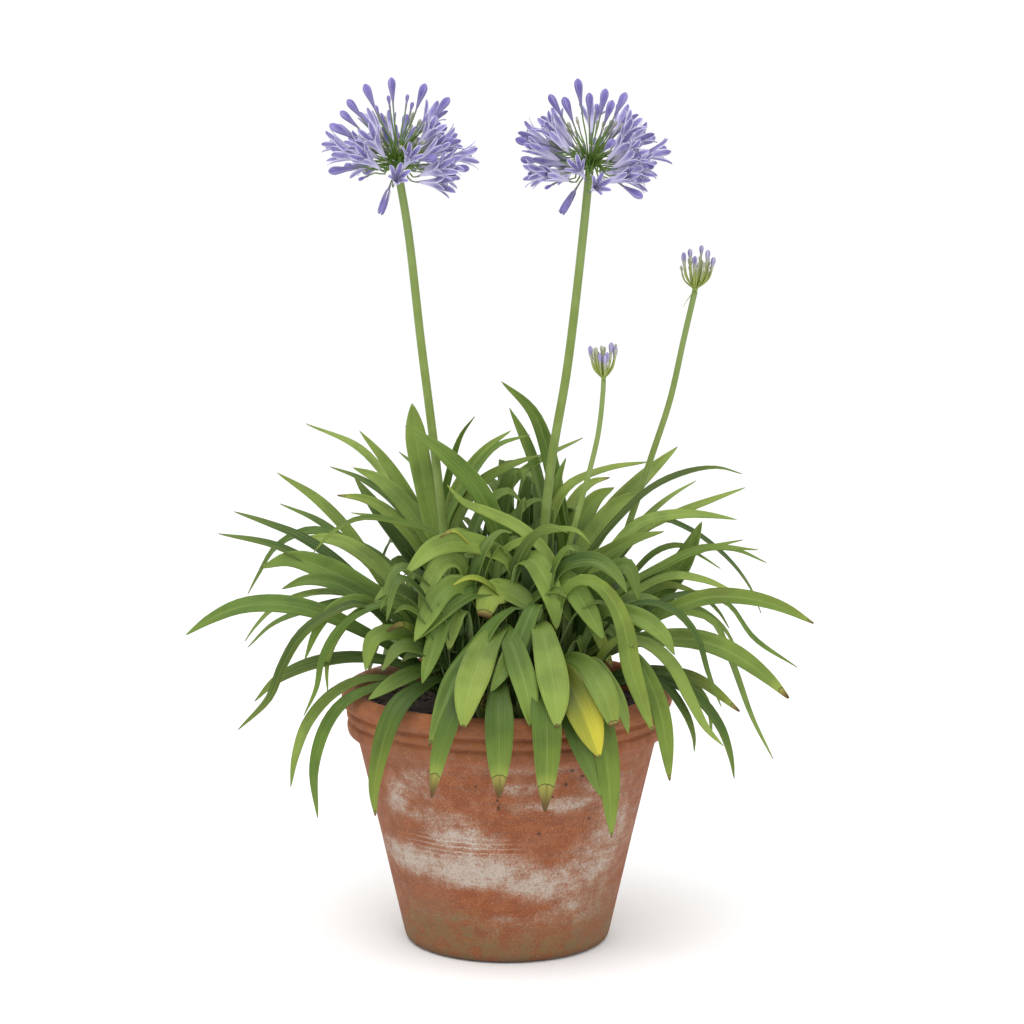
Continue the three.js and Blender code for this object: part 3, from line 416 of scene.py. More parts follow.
def make_terracotta():
    material, node, shader = new_finish("weathered_terracotta", 0.92, 1.5)
    spot = node("object_place")
    _, depth, height = node("split", spot)
    fine, sand, mottle, clouds = (node("noise", spot, per(size), 4.0, 0.6) for size in (0.9, 2.6, 13, 60))
    smears = node("noise", node("stretch", spot, (1, 1, 5)), per(30), 5, 0.65)
    turning = node("noise", node("stretch", spot, (0.4, 0.4, 9)), per(24), 3, 0.6)
    pores = node("noise", spot, per(1.5), 2, 0.5)
    front = node("step", depth, -0.02, 0.02, 1.0, 0.0)

    clay = node("mix", node("step", mottle, 0.36, 0.64), "#864a29", "#925532")
    for pattern, low, high, share, colour in ((smears, 0.46, 0.66, 0.75, "#76432c"),
                                              (sand, 0.5, 0.68, 0.4, "#6f402c"),
                                              (clouds, 0.45, 0.65, 0.5, "#875b42")):
        clay = node("mix", node("step", pattern, low, high, 0.0, share), clay, colour)

    behind = node("step", clouds, 0.42, 0.66, 0.0, 0.95)
    salts = node("between", front, behind, patches(node, spot, BLOOM))
    salts = node("subtract", salts, node("multiply", patches(node, spot, BARE), 0.62))
    # Bloom shows where the salts outweigh the noise: broad smears, then sand, then single grains.
    weight = smears
    for pattern, share in ((mottle, 1.2), (sand, 1.1), (fine, 1.5)):
        weight = node("add", weight, node("multiply", pattern, share))
    weight = node("add", weight, salts)
    for low, high, share, colour in ((2.35, 3.2, 0.6, "#a38b79"), (2.82, 3.5, 0.75, "#b6aea3")):
        clay = node("mix", node("multiply", node("step", weight, low, high), share), clay, colour)

    wavy = node("add", height, node("multiply", mottle, 0.004))
    comb = node("step", node("sine", node("multiply", wavy, math.tau / (COMB_MM * MM))), 0.3, 0.95)
    combed = node("multiply", patches(node, spot, [COMBED]), node("multiply", comb, front))
    clay = node("mix", node("multiply", combed, node("step", fine, 0.4, 0.55)), clay, "#c8beb3")
    clay = node("mix", node("step", pores, 0.56, 0.66, 0.0, 0.5), clay, "#5f3d2c")
    clay = node("mix", node("step", pores, 0.3, 0.4, 0.45, 0.0), clay, "#b08a6c")

    green = node("multiply", patches(node, spot, ALGAE), front)
    green = node("maximum", green, node("step", height, 0.004, 0.06, 0.95, 0.0))
    rough = node("add", mottle, node("multiply", sand, 0.6))
    green = node("multiply", green, node("step", rough, 0.56, 0.98))
    clay = node("mix", node("multiply", green, 0.8), clay, "#655d38")
    # The foot is damp, the wall from the rim upwards is worn by hands, and the lip itself is darker.
    clay = node("mix", node("step", height, 0.0, 0.012, 0.6, 0.0), clay, "#4f3a28")
    handled = node("multiply", node("step", height, 0.205, 0.235, 0.0, 0.75), node("step", smears, 0.4, 0.6))
    clay = node("mix", handled, clay, "#965a2f")
    lip = node("multiply", node("step", height, 0.246, 0.258, 0.0, 0.65), node("step", mottle, 0.4, 0.6))
    clay = node("mix", lip, clay, "#744420")
    clay = node("mix", node("multiply", patches(node, spot, PITS), front), clay, "#33231b")
    dots = node("step", node("cells", spot, per(9)), 0.05, 0.1, 1.0, 0.0)
    dots = node("multiply", dots, node("step", mottle, 0.5, 0.6))
    clay = node("mix", node("multiply", dots, 0.7), clay, "#3f2c22")

    ridges = node("bump", 0.6, 0.0014, turning)
    fill(shader, {"Base Color": clay, "Normal": node("bump", 0.5, 0.0006, sand, ridges)})
    return material


finish_piece("thrown_pot", pot_shape, [make_terracotta()], ["pot"])

# %% [markdown]
# ## Potting mix
# The pot is filled with bark-based mix to a couple of fingers below the lip. The fill is spun like the pot,
# then its top is roughened where it shows, and small crumbs and bark chips are strewn on it so that it does
# not read as a smooth lid.

# %% Soil and crumbs
SOIL_TOP = 236.0
SOIL_OUTLINE = [(0, 13.4, 0), (93.6, 13.4, 1), (134.6, 203, 2), (143.6, 236, 0), (120, 238, 0), (95, 239, 0),
                (64, 241, 0), (30, 241, 0), (0, 241, 0)]
CRUMBS, CRUMB_SEED = 420, 19


def roughen(bm, height):
    """Lifts and lowers the fill's top, but not the ring where it meets the pot."""
    for vertex in bm.verts:
        inside = 1 - min(1, math.hypot(vertex.co.x, vertex.co.y) / 142)
        if vertex.co.z > SOIL_TOP - 1 and inside > 0:
            lift = noise.noise(vertex.co * 0.09) + 0.6 * noise.noise(vertex.co * 0.31)
            vertex.co.z += height * lift * min(1, inside * 12)


def make_potting_mix():
    material, node, shader = new_finish("damp_bark_mix", 0.95)
    spot = node("object_place")
    clods = node("noise", spot, per(9), 5, 0.7)
    colour = node("mix", node("step", clods, 0.35, 0.7), "#17110d", "#3a2a1e")
    bark = node("step", node("cells", spot, per(7)), 0.12, 0.3, 1.0, 0.0)
    colour = node("mix", node("multiply", bark, 0.5), colour, "#573d2a")
    fill(shader, {"Base Color": colour, "Normal": node("bump", 0.8, 0.003, clods)})
    return material


def strew(bm, count, seed):
    """Presses small squashed lumps into the top of the fill."""
    draw = Draw(seed)
    for _ in range(count):
        out, turn = 138 * math.sqrt(draw()), draw(0, math.tau)
        size = draw(1.2, 3.6)
        centre = Vector((out * math.cos(turn), out * math.sin(turn), SOIL_TOP + 5.5 - 5 * (out / 140) ** 2))
        lump = bmesh.ops.create_icosphere(bm, subdivisions=1, radius=size)["verts"]
        bmesh.ops.scale(bm, vec=(draw(0.7, 1.5), draw(0.6, 1.1), draw(0.35, 0.8)), verts=lump)
        spin = Matrix.Rotation(draw(0, math.tau), 3, "Z") @ Matrix.Rotation(draw(-0.6, 0.6), 3, "X")
        bmesh.ops.rotate(bm, matrix=spin, verts=lump)
        bmesh.ops.translate(bm, vec=centre, verts=lump)


soil_shape = spun(SOIL_OUTLINE, SOIL_STEPS)
top_edges = [e for e in soil_shape.edges if min(v.co.z for v in e.verts) > SOIL_TOP - 1]
bmesh.ops.subdivide_edges(soil_shape, edges=top_edges, cuts=2, use_grid_fill=True)
roughen(soil_shape, 2.2)
strew(soil_shape, CRUMBS, CRUMB_SEED)
finish_piece("bark_fill", soil_shape, [make_potting_mix()], ["soil"])

# %% [markdown]
# ## Setting out the leaves
# Nobody lays a hundred leaves by formula and gets a plant with a face. Each leaf that shows was set out as a
# few points on a drawing plane that stands square to the eye, and its depth comes from the crown it grows
# in: the six crowns stand in rows from front to back, and a row spreads deeper the further it reaches
# sideways.

# %% From the drawing plane to the plant
LAYER_SPREAD = 120.0
# Crown rows from front to back: depth layer and half length.
CROWNS = [(-98, 30), (-63, 56), (-21, 66), (21, 66), (63, 56), (98, 30)]
CROWN_THICK = 9                 # how far a root may stand before or behind the middle of its crown
ROOT_Z = 244.0


def layer_depth(layer, x):
    return layer * (1 + abs(x) / LAYER_SPREAD)


def layer_of(point):
    return point.y / (1 + abs(point.x) / LAYER_SPREAD)


def on_sight_line(across, up, y):
    """The point behind (across, up) on the drawing plane that lies at depth y."""
    direction = Vector((across, BOARD * math.cos(TILT) + up * math.sin(TILT),
                        up * math.cos(TILT) - BOARD * math.sin(TILT)))
    return EYE + direction * ((y - EYE.y) / direction.y)


def in_layer(across, up, layer):
    near = on_sight_line(across, up, layer_depth(layer, across + EYE.x))
    return on_sight_line(across, up, layer_depth(layer, near.x))


# Each leaf: crown, width, how far its face turns to the eye, its layer at the first point and at the tip, and
# its points as (across, up) or, where it has to clear the pot, (across, up, depth).
LEAVES = [
    (1, 21, 0.8, -100, -100, [(10, -95, -106), (-12, -105, -114), (-35, -135, -126), (-58, -168, -144),
     (-72, -203, -168), (-83, -234, -178)]),
    (1, 20, 0.3, -100, -100, [(-44, -166, -134), (-52, -184, -160), (-62, -211, -178),
     (-71, -238, -184), (-81, -286, -186)]),
    (1, 31, 0.9, -100, -100, [(-8, -116, -104), (-16, -120, -118), (-27, -136, -135), (-36, -158, -154),
     (-44, -183, -173), (-49, -215, -187)]),
    (1, 19, 0.8, -100, -100, [(25, -92, -102), (20, -98, -112), (9, -125, -125), (-3, -148, -138),
     (-22, -181, -156)]),
    (1, 24, 0.8, -100, -100, [(-13, -114, -102), (-8, -118, -116), (0, -132, -132), (8, -156, -148),
     (15, -180, -162), (19, -215, -176)]),
    (1, 30, 0.8, -100, -100, [(21, -112, -102), (29, -116, -120), (35, -138, -138), (40, -163, -156),
     (44, -188, -172), (45, -215, -184)]),
    (1, 27, 0.0, -100, -100, [(-12, -168, -130), (-13, -188, -160), (-13, -214, -178),
     (-13, -243, -184), (-13, -286, -186)]),
    (1, 28, 0.8, -100, -100, [(26, -158, -126), (31, -178, -154), (34, -204, -176), (35, -240, -184),
     (33, -300, -186)]),
    (1, 33, 0.8, -100, -100, [(44, -158, -116), (50, -160, -132), (58, -172, -149), (66, -188, -163),
     (74, -206, -172), (88, -246, -179)]),
    (1, 20, 0.8, -100, -100, [(46, -164, -124), (54, -189, -146), (62, -216, -164), (71, -240, -172),
     (90, -286, -180)]),
    (1, 25, 0.5, -100, -100, [(70, -162, -134), (84, -190, -148), (91, -222, -162), (97, -270, -172),
     (100, -326, -176)]),
    (2, 20, 0.7, -70, -70, [(-67, -166, -100), (-92, -176, -122), (-112, -192, -142),
     (-126, -220, -150), (-138, -275, -154), (-137, -304, -154)]),
    (2, 18, 0.5, -62, -62, [(-52, -154), (-80, -155), (-110, -166), (-144, -187)]),
    (2, 16, 0.8, -56, -56, [(-90, -132), (-118, -120), (-138, -126), (-147, -159)]),
    (2, 21, 0.8, -60, -62, [(-2, -53), (-20, -38), (-50, -30), (-78, -36), (-108, -63)]),
    (2, 18, 0.9, -60, -64, [(-52, -50), (-68, -48), (-82, -68), (-94, -99)]),
    (2, 21, 0.9, -66, -72, [(-38, -84), (-54, -72), (-70, -80), (-84, -102), (-98, -130)]),
    (2, 15, 0.6, -72, -72, [(-10, -84), (-34, -80), (-58, -92), (-96, -128)]),
    (2, 18, 0.9, -66, -78, [(-56, -94), (-68, -106), (-78, -134), (-90, -172)]),
    (2, 19, 0.9, -66, -76, [(-50, -96), (-56, -100), (-61, -120), (-63, -139)]),
    (2, 29, 0.9, -74, -80, [(28, -106), (13, -91), (-6, -80), (-22, -84), (-28, -105)]),
    (2, 23, 0.8, -60, -70, [(8, -50), (20, -48), (34, -68), (42, -92), (45, -119)]),
    (2, 22, 0.9, -58, -64, [(42, -68), (56, -70), (72, -92), (92, -128)]),
    (2, 16, 0.4, -54, -52, [(58, -84), (78, -106), (92, -136), (101, -156)]),
    (2, 15, 0.8, -62, -62, [(44, -60), (62, -49), (84, -48), (104, -62), (116, -82)]),
    (2, 9, 0.6, -52, -52, [(-10, -42), (12, -28), (44, -17), (66, -19), (80, -34)]),
    (2, 19, 0.8, -66, -64, [(56, -74), (78, -68), (98, -84), (112, -114), (119, -155), (128, -183),
     (141, -220)]),
    (2, 18, 0.8, -56, -54, [(105, -134), (128, -152), (143, -182), (152, -216), (158, -269)]),
    (2, 18, 0.8, -54, -54, [(92, -98), (114, -101), (134, -109), (152, -124), (163, -143)]),
    (2, 25, 0.8, -74, -75, [(50, -147), (70, -151, -132), (86, -170, -158), (96, -192, -172),
     (102, -214, -180)]),
    (2, 13, 0.6, -70, -66, [(80, -148), (98, -170, -136), (110, -196, -144), (117, -222, -146)]),
    (3, 9, 0.4, -25, -25, [(-72, -25), (-112, -10), (-152, -6), (-180, -20), (-199, -40)]),
    (3, 8, 0.4, -15, -15, [(-92, -20), (-120, -7), (-161, 0)]),
    (3, 20, 0.6, -20, -16, [(-112, -140), (-150, -119), (-192, -100), (-232, -92), (-270, -94),
     (-302, -107), (-327, -123)]),
    (3, 12, 0.5, -32, -32, [(-150, -92), (-187, -104), (-212, -124), (-231, -157), (-243, -186),
     (-275, -218)]),
    (3, 16, 0.5, -26, -26, [(-84, -162), (-122, -149), (-162, -145), (-202, -152), (-236, -168),
     (-258, -189)]),
    (3, 11, 0.8, -29, -30, [(-150, -88), (-176, -94), (-194, -116), (-208, -149)]),
    (3, 9, 0.5, -34, -34, [(-112, -92), (-148, -98), (-174, -118), (-190, -146), (-196, -176),
     (-209, -204)]),
    (3, 9, 0.5, -27, -27, [(-120, -92), (-152, -99), (-175, -124), (-185, -152), (-185, -181)]),
    (3, 13, 0.5, -28, -32, [(-112, -168), (-150, -167), (-180, -182), (-204, -210), (-217, -245),
     (-222, -275)]),
    (3, 14, 0.5, -34, -36, [(-104, -170), (-140, -176), (-168, -190), (-186, -214), (-198, -256),
     (-195, -306)]),
    (3, 20, 0.9, -13, -14, [(-2, -60), (-14, -18), (-32, 20), (-56, 48), (-84, 71), (-107, 86)]),
    (3, 13, 0.7, -33, -33, [(44, -63), (30, -36), (8, -16), (-22, -1), (-48, 10), (-65, 28)]),
    (3, 8, 0.6, -36, -36, [(-30, -44), (-42, -24), (-54, -17), (-70, -24)]),
    (3, 16, 0.7, -22, -22, [(68, -56), (92, -43), (122, -27), (152, -19)]),
    (3, 18, 0.6, -12, -12, [(128, -114), (160, -97), (198, -85), (236, -86), (270, -95), (302, -111)]),
    (3, 21, 0.7, -28, -28, [(112, -132), (153, -126), (190, -129), (224, -143), (256, -166),
     (277, -186)]),
    (3, 15, 0.5, -22, -22, [(112, -160), (152, -160), (186, -168), (228, -199)]),
    (3, 12, 0.5, -30, -30, [(112, -166), (152, -168), (184, -184), (208, -214), (219, -244),
     (223, -267)]),
    (3, 10, 0.5, -35, -35, [(110, -170), (148, -170), (172, -198), (182, -224), (183, -240)]),
    (3, 14, 0.6, -36, -36, [(98, -130), (132, -130), (158, -150), (178, -186), (194, -215),
     (212, -234)]),
    (3, 9, 0.4, -18, -18, [(140, -158), (174, -168), (194, -188), (201, -226)]),
    (3, 9, 0.4, -35, -35, [(120, -92), (160, -97), (184, -122), (197, -162), (210, -195)]),
    (3, 8, 0.4, -7, -7, [(150, -88), (188, -84), (206, -98), (218, -116)]),
    (4, 12, 0.5, 22, 22, [(-108, -98), (-140, -78), (-178, -46), (-212, -24), (-246, -10), (-278, 1)]),
    (4, 11, 0.5, 13, 13, [(-108, -102), (-150, -78), (-196, -53), (-237, -33), (-294, -21)]),
    (4, 10, 0.5, 30, 30, [(-122, -52), (-160, -29), (-202, -18), (-236, -34), (-254, -62),
     (-265, -82)]),
    (4, 17, 0.7, 26, 26, [(-112, -76), (-140, -48), (-174, -28), (-215, -26)]),
    (4, 25, 0.8, 10, 12, [(-104, -104), (-144, -80), (-186, -57), (-222, -47), (-252, -56)]),
    (4, 17, 0.8, 8, 8, [(-108, -108), (-144, -87), (-182, -69), (-206, -68), (-231, -77)]),
    (4, 10, 0.4, 18, 18, [(-110, -98), (-150, -84), (-196, -80), (-236, -94), (-257, -114),
     (-268, -129)]),
    (4, 10, 0.4, 9, 9, [(-110, -92), (-156, -87), (-206, -98), (-240, -112), (-265, -135)]),
    (4, 22, 0.9, 16, 18, [(-70, -62), (-79, -18), (-88, 30), (-96, 74), (-100, 109)]),
    (4, 9, 0.4, 33, 33, [(78, -40), (108, -4), (140, 25), (176, 41), (206, 45), (230, 39)]),
    (4, 11, 0.5, 22, 22, [(94, -54), (128, -20), (168, 0), (204, 14), (233, 25)]),
    (4, 13, 0.6, 14, 14, [(94, -46), (126, -12), (166, -2), (198, -3), (225, -7)]),
    (4, 26, 0.8, 27, 28, [(112, -120), (143, -85), (170, -51), (190, -9)]),
    (4, 12, 0.4, 11, 11, [(112, -76), (150, -54), (192, -36), (246, -37)]),
    (4, 8, 0.4, 20, 20, [(150, -56), (188, -38), (222, -37), (255, -50)]),
    (4, 8, 0.4, 30, 30, [(140, -42), (168, -33), (188, -43), (209, -56)]),
    (4, 9, 0.4, 34, 34, [(112, -40), (144, -7), (176, -16), (214, -44), (238, -74), (250, -101)]),
    (4, 12, 0.5, 8, 8, [(112, -86), (154, -64), (190, -67), (226, -81)]),
    (4, 10, 0.5, 16, 16, [(118, -90), (154, -73), (176, -77), (193, -85)]),
    (4, 9, 0.4, 14, 14, [(150, -88), (190, -82), (216, -92), (242, -126), (286, -155)]),
    (4, 11, 0.4, 8, 8, [(118, -104), (163, -99), (200, -108), (220, -150), (240, -204), (262, -247)]),
    (4, 9, 0.4, 24, 24, [(128, -92), (178, -94), (208, -112), (223, -136), (225, -162)]),
    (5, 14, 0.9, 62, 62, [(-72, -48), (-96, 2), (-126, 50), (-153, 82)]),
    (5, 19, 0.9, 54, 54, [(-72, -44), (-100, 0), (-132, 32), (-160, 45)]),
    (5, 18, 0.8, 66, 66, [(-87, -66), (-112, -26), (-138, 8), (-158, 36)]),
    (5, 13, 0.8, 51, 51, [(-92, -36), (-120, -3), (-146, 13), (-175, 17)]),
    (5, 13, 0.6, 52, 56, [(-96, -124), (-128, -73), (-160, -24), (-194, 12), (-235, 40)]),
    (5, 10, 0.4, 72, 72, [(-112, -88), (-147, -49), (-190, -11), (-232, 9)]),
    (5, 9, 0.5, 66, 66, [(-70, -10), (-62, 42), (-51, 76), (-37, 95)]),
    (5, 13, 0.7, 58, 60, [(-62, 0), (-46, 38), (-26, 64), (-1, 82)]),
    (5, 12, 0.4, 52, 52, [(-67, -23), (-44, 30), (-16, 66), (18, 78)]),
    (5, 15, 0.5, 49, 49, [(-60, -32), (-36, 24), (-4, 46), (29, 58)]),
    (5, 18, 0.9, 70, 70, [(42, -60), (34, -4), (18, 60), (-2, 104)]),
    (5, 16, 0.9, 60, 60, [(54, -50), (44, 24), (22, 98), (-11, 131)]),
    (5, 10, 0.4, 74, 74, [(-20, -12), (2, 32), (30, 54), (71, 75)]),
    (5, 12, 0.4, 50, 50, [(34, -24), (54, 24), (92, 43), (137, 51)]),
    (5, 14, 0.8, 56, 56, [(52, -36), (46, 0), (46, 32), (54, 55)]),
    (5, 18, 0.8, 60, 60, [(74, -44), (96, -3), (128, 31), (166, 66)]),
    (5, 23, 0.9, 56, 56, [(64, -54), (84, -20), (104, 6), (129, 21)]),
    (5, 8, 0.4, 72, 72, [(104, -44), (133, -6), (158, 16), (184, 32)]),
    (5, 9, 0.4, 50, 52, [(112, -88), (152, -56), (192, -37), (231, -27)]),
    (6, 10, 0.4, 98, 98, [(-80, -40), (-110, 12), (-150, 62), (-206, 89)]),
    (6, 10, 0.4, 108, 108, [(-88, -34), (-118, 10), (-150, 33), (-182, 46)]),
    (6, 10, 0.4, 94, 94, [(-66, -10), (-84, 34), (-113, 61)]),
    (6, 13, 0.7, 108, 108, [(48, -20), (62, 12), (78, 29), (98, 35)]),
    (6, 23, 0.9, 97, 97, [(54, -56), (66, -16), (84, 14), (103, 25)]),
]
# Leaves at the back follow a rule: crown, how many, how far sideways and back, how high they arch and end,
# and their width. Those of the rear crown reach back, and spread over a share of that reach; the others arch
# sideways, by millimetres, in their own row.
BACK_RULES = [
    (6, 11, 0.9, (195, 285), (95, 230), (-90, 120), (17, 24)),
    (5, 4, 200, None, (70, 150), (-20, 60), (16, 22)),
    (4, 2, 120, None, (120, 170), (120, 170), (15, 20)),
    (3, 2, 120, None, (90, 140), (90, 140), (15, 20)),
]
BACK_LEAVES = [dict(zip(("fan", "count", "side", "back", "apex", "tip", "width"), row)) for row in BACK_RULES]
RIM_PASS = (128, 186, 290)      # between these radii a back leaf stays above this height, clear of the lip
BACK_SEED, FAN_SEED, YOUNG_SEED = 7, 31, 77
print("leaves set out by hand:", len(LEAVES))

# %% Where every leaf runs
def leaf_points(row):
    _, _, _, first, tip, route = row
    points = []
    for i, (across, up, *depth) in enumerate(route):
        share = i / (len(route) - 1)
        points.append(on_sight_line(across, up, depth[0]) if depth
                      else in_layer(across, up, lerp(first, tip, share)))
    return points


def back_leaf(rule, place, draw):
    """A leaf that rises from its crown, arches over and drops its tip."""
    layer = CROWNS[rule["fan"] - 1][0]
    back = draw(*rule["back"]) if rule["back"] else 0
    widest = LAYER_SPREAD * (back / layer - 1) if back else 1
    side = widest * rule["side"] * ((2 * (place + draw(0.35, 0.65))) / rule["count"] - 1)
    end_layer = back / (1 + abs(side) / LAYER_SPREAD) if back else layer + draw(-8, 8)
    apex = draw(*rule["apex"])
    tip = min(draw(*rule["tip"]), apex)
    points = []
    inner, outer, clear = RIM_PASS
    for share, height in ((0.34, apex * 0.8), (0.62, apex), (0.84, lerp(apex, tip, 0.4)), (1, tip)):
        x = side * share
        y = layer_depth(lerp(layer, end_layer, share), x)
        lowest = clear if inner < math.hypot(x, y) < outer else 0
        points.append(Vector((x, y, max(lowest, SOIL_TOP + height))))
    return {"fan": rule["fan"], "width": draw(*rule["width"]), "turn": 0.0, "points": points, "key": None}


def rooted(points, crown, root_x):
    """Adds the stretch from the crown up to a leaf's first free point."""
    layer, _ = crown
    first = points[0]
    shift = clamp(layer_of(first) - layer, -CROWN_THICK, CROWN_THICK)
    root = Vector((root_x, layer_depth(layer + shift, root_x), ROOT_Z))
    rise = clamp(0.4 * (first.z - root.z), 8, 70)
    neck_x = lerp(root_x, first.x, 0.35)
    neck = Vector((neck_x, layer_depth(lerp(layer, layer_of(first), 0.3), neck_x), ROOT_Z + rise))
    return [root, neck, *points]


def list_leaves():
    leaves = [{"fan": row[0], "width": row[1], "turn": row[2], "points": leaf_points(row),
               "key": (row[0], *row[5][-1][:2])} for row in LEAVES]
    draw = Draw(BACK_SEED)
    for rule in BACK_LEAVES:
        leaves += [back_leaf(rule, i, draw) for i in range(rule["count"])]
    for number, crown in enumerate(CROWNS, 1):
        own = sorted((leaf for leaf in leaves if leaf["fan"] == number), key=lambda leaf: leaf["points"][0].x)
        for place, leaf in enumerate(own):
            root_x = (crown[1] - 6) * (2 * place / (len(own) - 1) - 1)
            leaf["points"] = rooted(leaf["points"], crown, root_x)
    return leaves


leaves = list_leaves()
print("leaves in all:", len(leaves))

# %% [markdown]
# ## A strap leaf
# A leaf is a long strap, channelled along its midrib, narrow at its base and blunt at its tip. Its face stays
# nearly level as it arches, and turns towards the light no faster than a leaf can twist. It is one sheet, six
# cells across, laid along its route. The rings crowd towards the tip, where the outline curves fastest. Each
# corner also notes where on the leaf it is, so that the veins and the dry tip can follow the leaf in the
# material.

# %% The leaf's frame and form
TWIST = math.radians(0.6)       # the most a leaf twists in a millimetre
RINGS, CELLS = 30, 6
# Old leaves, by crown and tip point: length of the dry tip in millimetres, how yellow, and how blunt its end.
FINISHES = {
    (1, -81, -286): (24, 0.1, 0.06), (1, -13, -286): (22, 0.1, 0.06), (1, 33, -300): (27, 0.1, 0.06),
    (1, 88, -246): (3, 1.5, 0.0), (1, -49, -215): (2, 0.1, 0.12), (1, 100, -326): (5, 0.1, 0.0),
    (1, -83, -234): (6, 0.0, 0.05), (1, 45, -215): (3, 0.05, 0.1), (1, 19, -215): (3, 0.0, 0.05),
    (2, -28, -105): (7, 0.1, 0.42), (2, 102, -214): (5, 0.1, 0.3), (2, 101, -156): (9, 0.2, 0.1),
    (2, -137, -304): (5, 0.15, 0.05), (2, 158, -269): (6, 0.1, 0.05), (2, 141, -220): (5, 0.1, 0.05),
    (3, 302, -111): (7, 0.1, 0.05), (3, 277, -186): (13, 0.05, 0.1), (3, 228, -199): (11, 0.15, 0.1),
    (5, -175, 17): (9, 0.1, 0.05), (6, 98, 35): (9, 0.1, 0.05),
}

# Leaves whose green is given, from deep (0) to light (1); the others draw theirs.
TONES = {
    (1, -49, -215): 0.85, (1, 45, -215): 0.8, (1, 19, -215): 0.65, (1, -83, -234): 0.35,
    (1, -22, -181): 0.4, (1, 33, -300): 0.5, (1, -13, -286): 0.5, (1, -81, -286): 0.45,
    (1, 100, -326): 0.55, (2, -108, -63): 0.75, (2, -28, -105): 0.8, (2, 45, -119): 0.75,
    (2, 92, -128): 0.65, (2, 141, -220): 0.7, (2, 102, -214): 0.7, (2, -98, -130): 0.7, (2, -90, -172): 0.6,
    (3, -327, -123): 0.45, (3, 302, -111): 0.55, (3, 277, -186): 0.7, (4, -100, 109): 0.8,
    (3, -107, 86): 0.5,
}
# A young upright leaf is widest near its round tip.
ROUND_TIPS = {(4, -100, 109): 0.86}


def widest_at(route, fan):
    """Where along a leaf it is widest, beyond the crest of its arch, and how late it widens."""
    crest = max(range(len(route.points)), key=lambda i: route.points[i].z)
    share = route.reach[crest] / route.length
    if fan < 3 and share < 0.85:
        return clamp(share + 0.3, 0.5, 0.78), 2.4
    return clamp(share + 0.34, 0.5, 0.68), 1.5


def half_width(share, width, belly, slim, blunt):
    if share < belly:
        rise = share / belly
        return width / 2 * lerp(0.3, 1, (rise * rise * (3 - 2 * rise)) ** slim)
    return width / 2 * lerp(blunt, 1, max(0.0, 1 - ((share - belly) / (1 - belly)) ** 2.0) ** 0.9)


def wanted_across(centre, tangent, level, turn):
    """From the left edge to the right: level across the heading, turned towards the eye by its share."""
    facing = tangent.cross((EYE - centre).normalized())
    turned = turn * clamp(1.5 + 2 * facing.dot(level), 0, 1)
    across = level * (1 - turned) + facing * turned
    return (across - tangent * across.dot(tangent)).normalized()


def leaf_frames(route, turn):
    """The centre, across and upward directions of each ring."""
    heading = route.points[-1] - route.points[0]
    level = Vector((heading.y, -heading.x, 0)).normalized()
    frames, last_tangent, last_across = [], None, None
    for i in range(RINGS + 1):
        share = 1 - (1 - i / RINGS) ** 1.25
        centre, tangent = route.at(share)
        across = wanted_across(centre, tangent, level, turn)
        if last_across is not None:
            carried = last_tangent.rotation_difference(tangent) @ last_across
            angle = math.atan2(carried.cross(across).dot(tangent), carried.dot(across))
            most = TWIST * (share - frames[-1][3]) * route.length
            across = Quaternion(tangent, clamp(angle, -most, most)) @ carried
        frames.append((centre, across, across.cross(tangent), share))
        last_tangent, last_across = tangent, across
    return frames


def lay_leaf(bm, layers, leaf, draw):
    """Adds one leaf to a mesh as an open sheet, face up."""
    route = Route(leaf["points"])
    frames = leaf_frames(route, leaf["turn"])
    dry, yellow, blunt = FINISHES.get(leaf["key"], (draw(0, 3.5), draw(-0.1, 0.08), 0.0))
    # painted shade: a leaf may scale its drawn tone down, so the young leaves in the heart are painted darker
    tone, wave, fold = draw() * leaf.get("painted_shade_tone_scale", 1.0), draw(0.0, 0.9), draw(0.75, 1.25)
    phase, (belly, slim) = draw(0, math.tau), widest_at(route, leaf.get("fan", 6))
    tone, belly = TONES.get(leaf["key"], tone), ROUND_TIPS.get(leaf["key"], belly)

    def place(u, v):
        centre, across, upward, share = frames[round(v * RINGS)]
        aside = 2 * u - 1
        full = half_width(share, leaf["width"], belly, slim, blunt)
        along = share * route.length
        channel = 0.26 * fold * full * abs(aside) ** 1.15 - 0.5
        ripple = wave * aside * abs(aside) * math.sin(along / 17 + phase) * min(1, full / 8)
        ridge = 0.35 * math.exp(-(aside * 5) ** 2) * min(1, full / 6)
        point = centre + across * (full * aside) + upward * (channel + ripple - ridge)
        return point, {layers[0]: Vector((aside * full, along, tone)),
                       layers[1]: Vector(((1 - share) * route.length, dry, yellow)),
                       layers[2]: aside}

    corners = sheet(bm, CELLS, RINGS, place)
    bmesh.ops.remove_doubles(bm, verts=corners, dist=0.02)


def leaf_layers(bm):
    """Where on the leaf a corner is, what state the leaf is in, and how far aside of the midrib."""
    floats, vectors = bm.verts.layers.float, bm.verts.layers.float_vector
    return vectors.new("leaf_at"), vectors.new("leaf_state"), floats.new("leaf_side")


print("longest leaf:", round(max(Route(leaf["points"]).length for leaf in leaves)), "mm")

# %% [markdown]
# ## Leaf surface
# A leaf is waxy and smooth, with fine parallel veins, a pale line along the midrib and a lighter underside.
# The veins run the length of the leaf, so the pattern reads the leaf's own measure across and along, not the
# room's. Real veins are under a millimetre apart; they are drawn a little wider, 1.6 mm, so that they show.
# The tips of old leaves die back: first a pale band, then a dark line, then dry brown.

# %% Leaf materials
VEIN_MM = 1.6


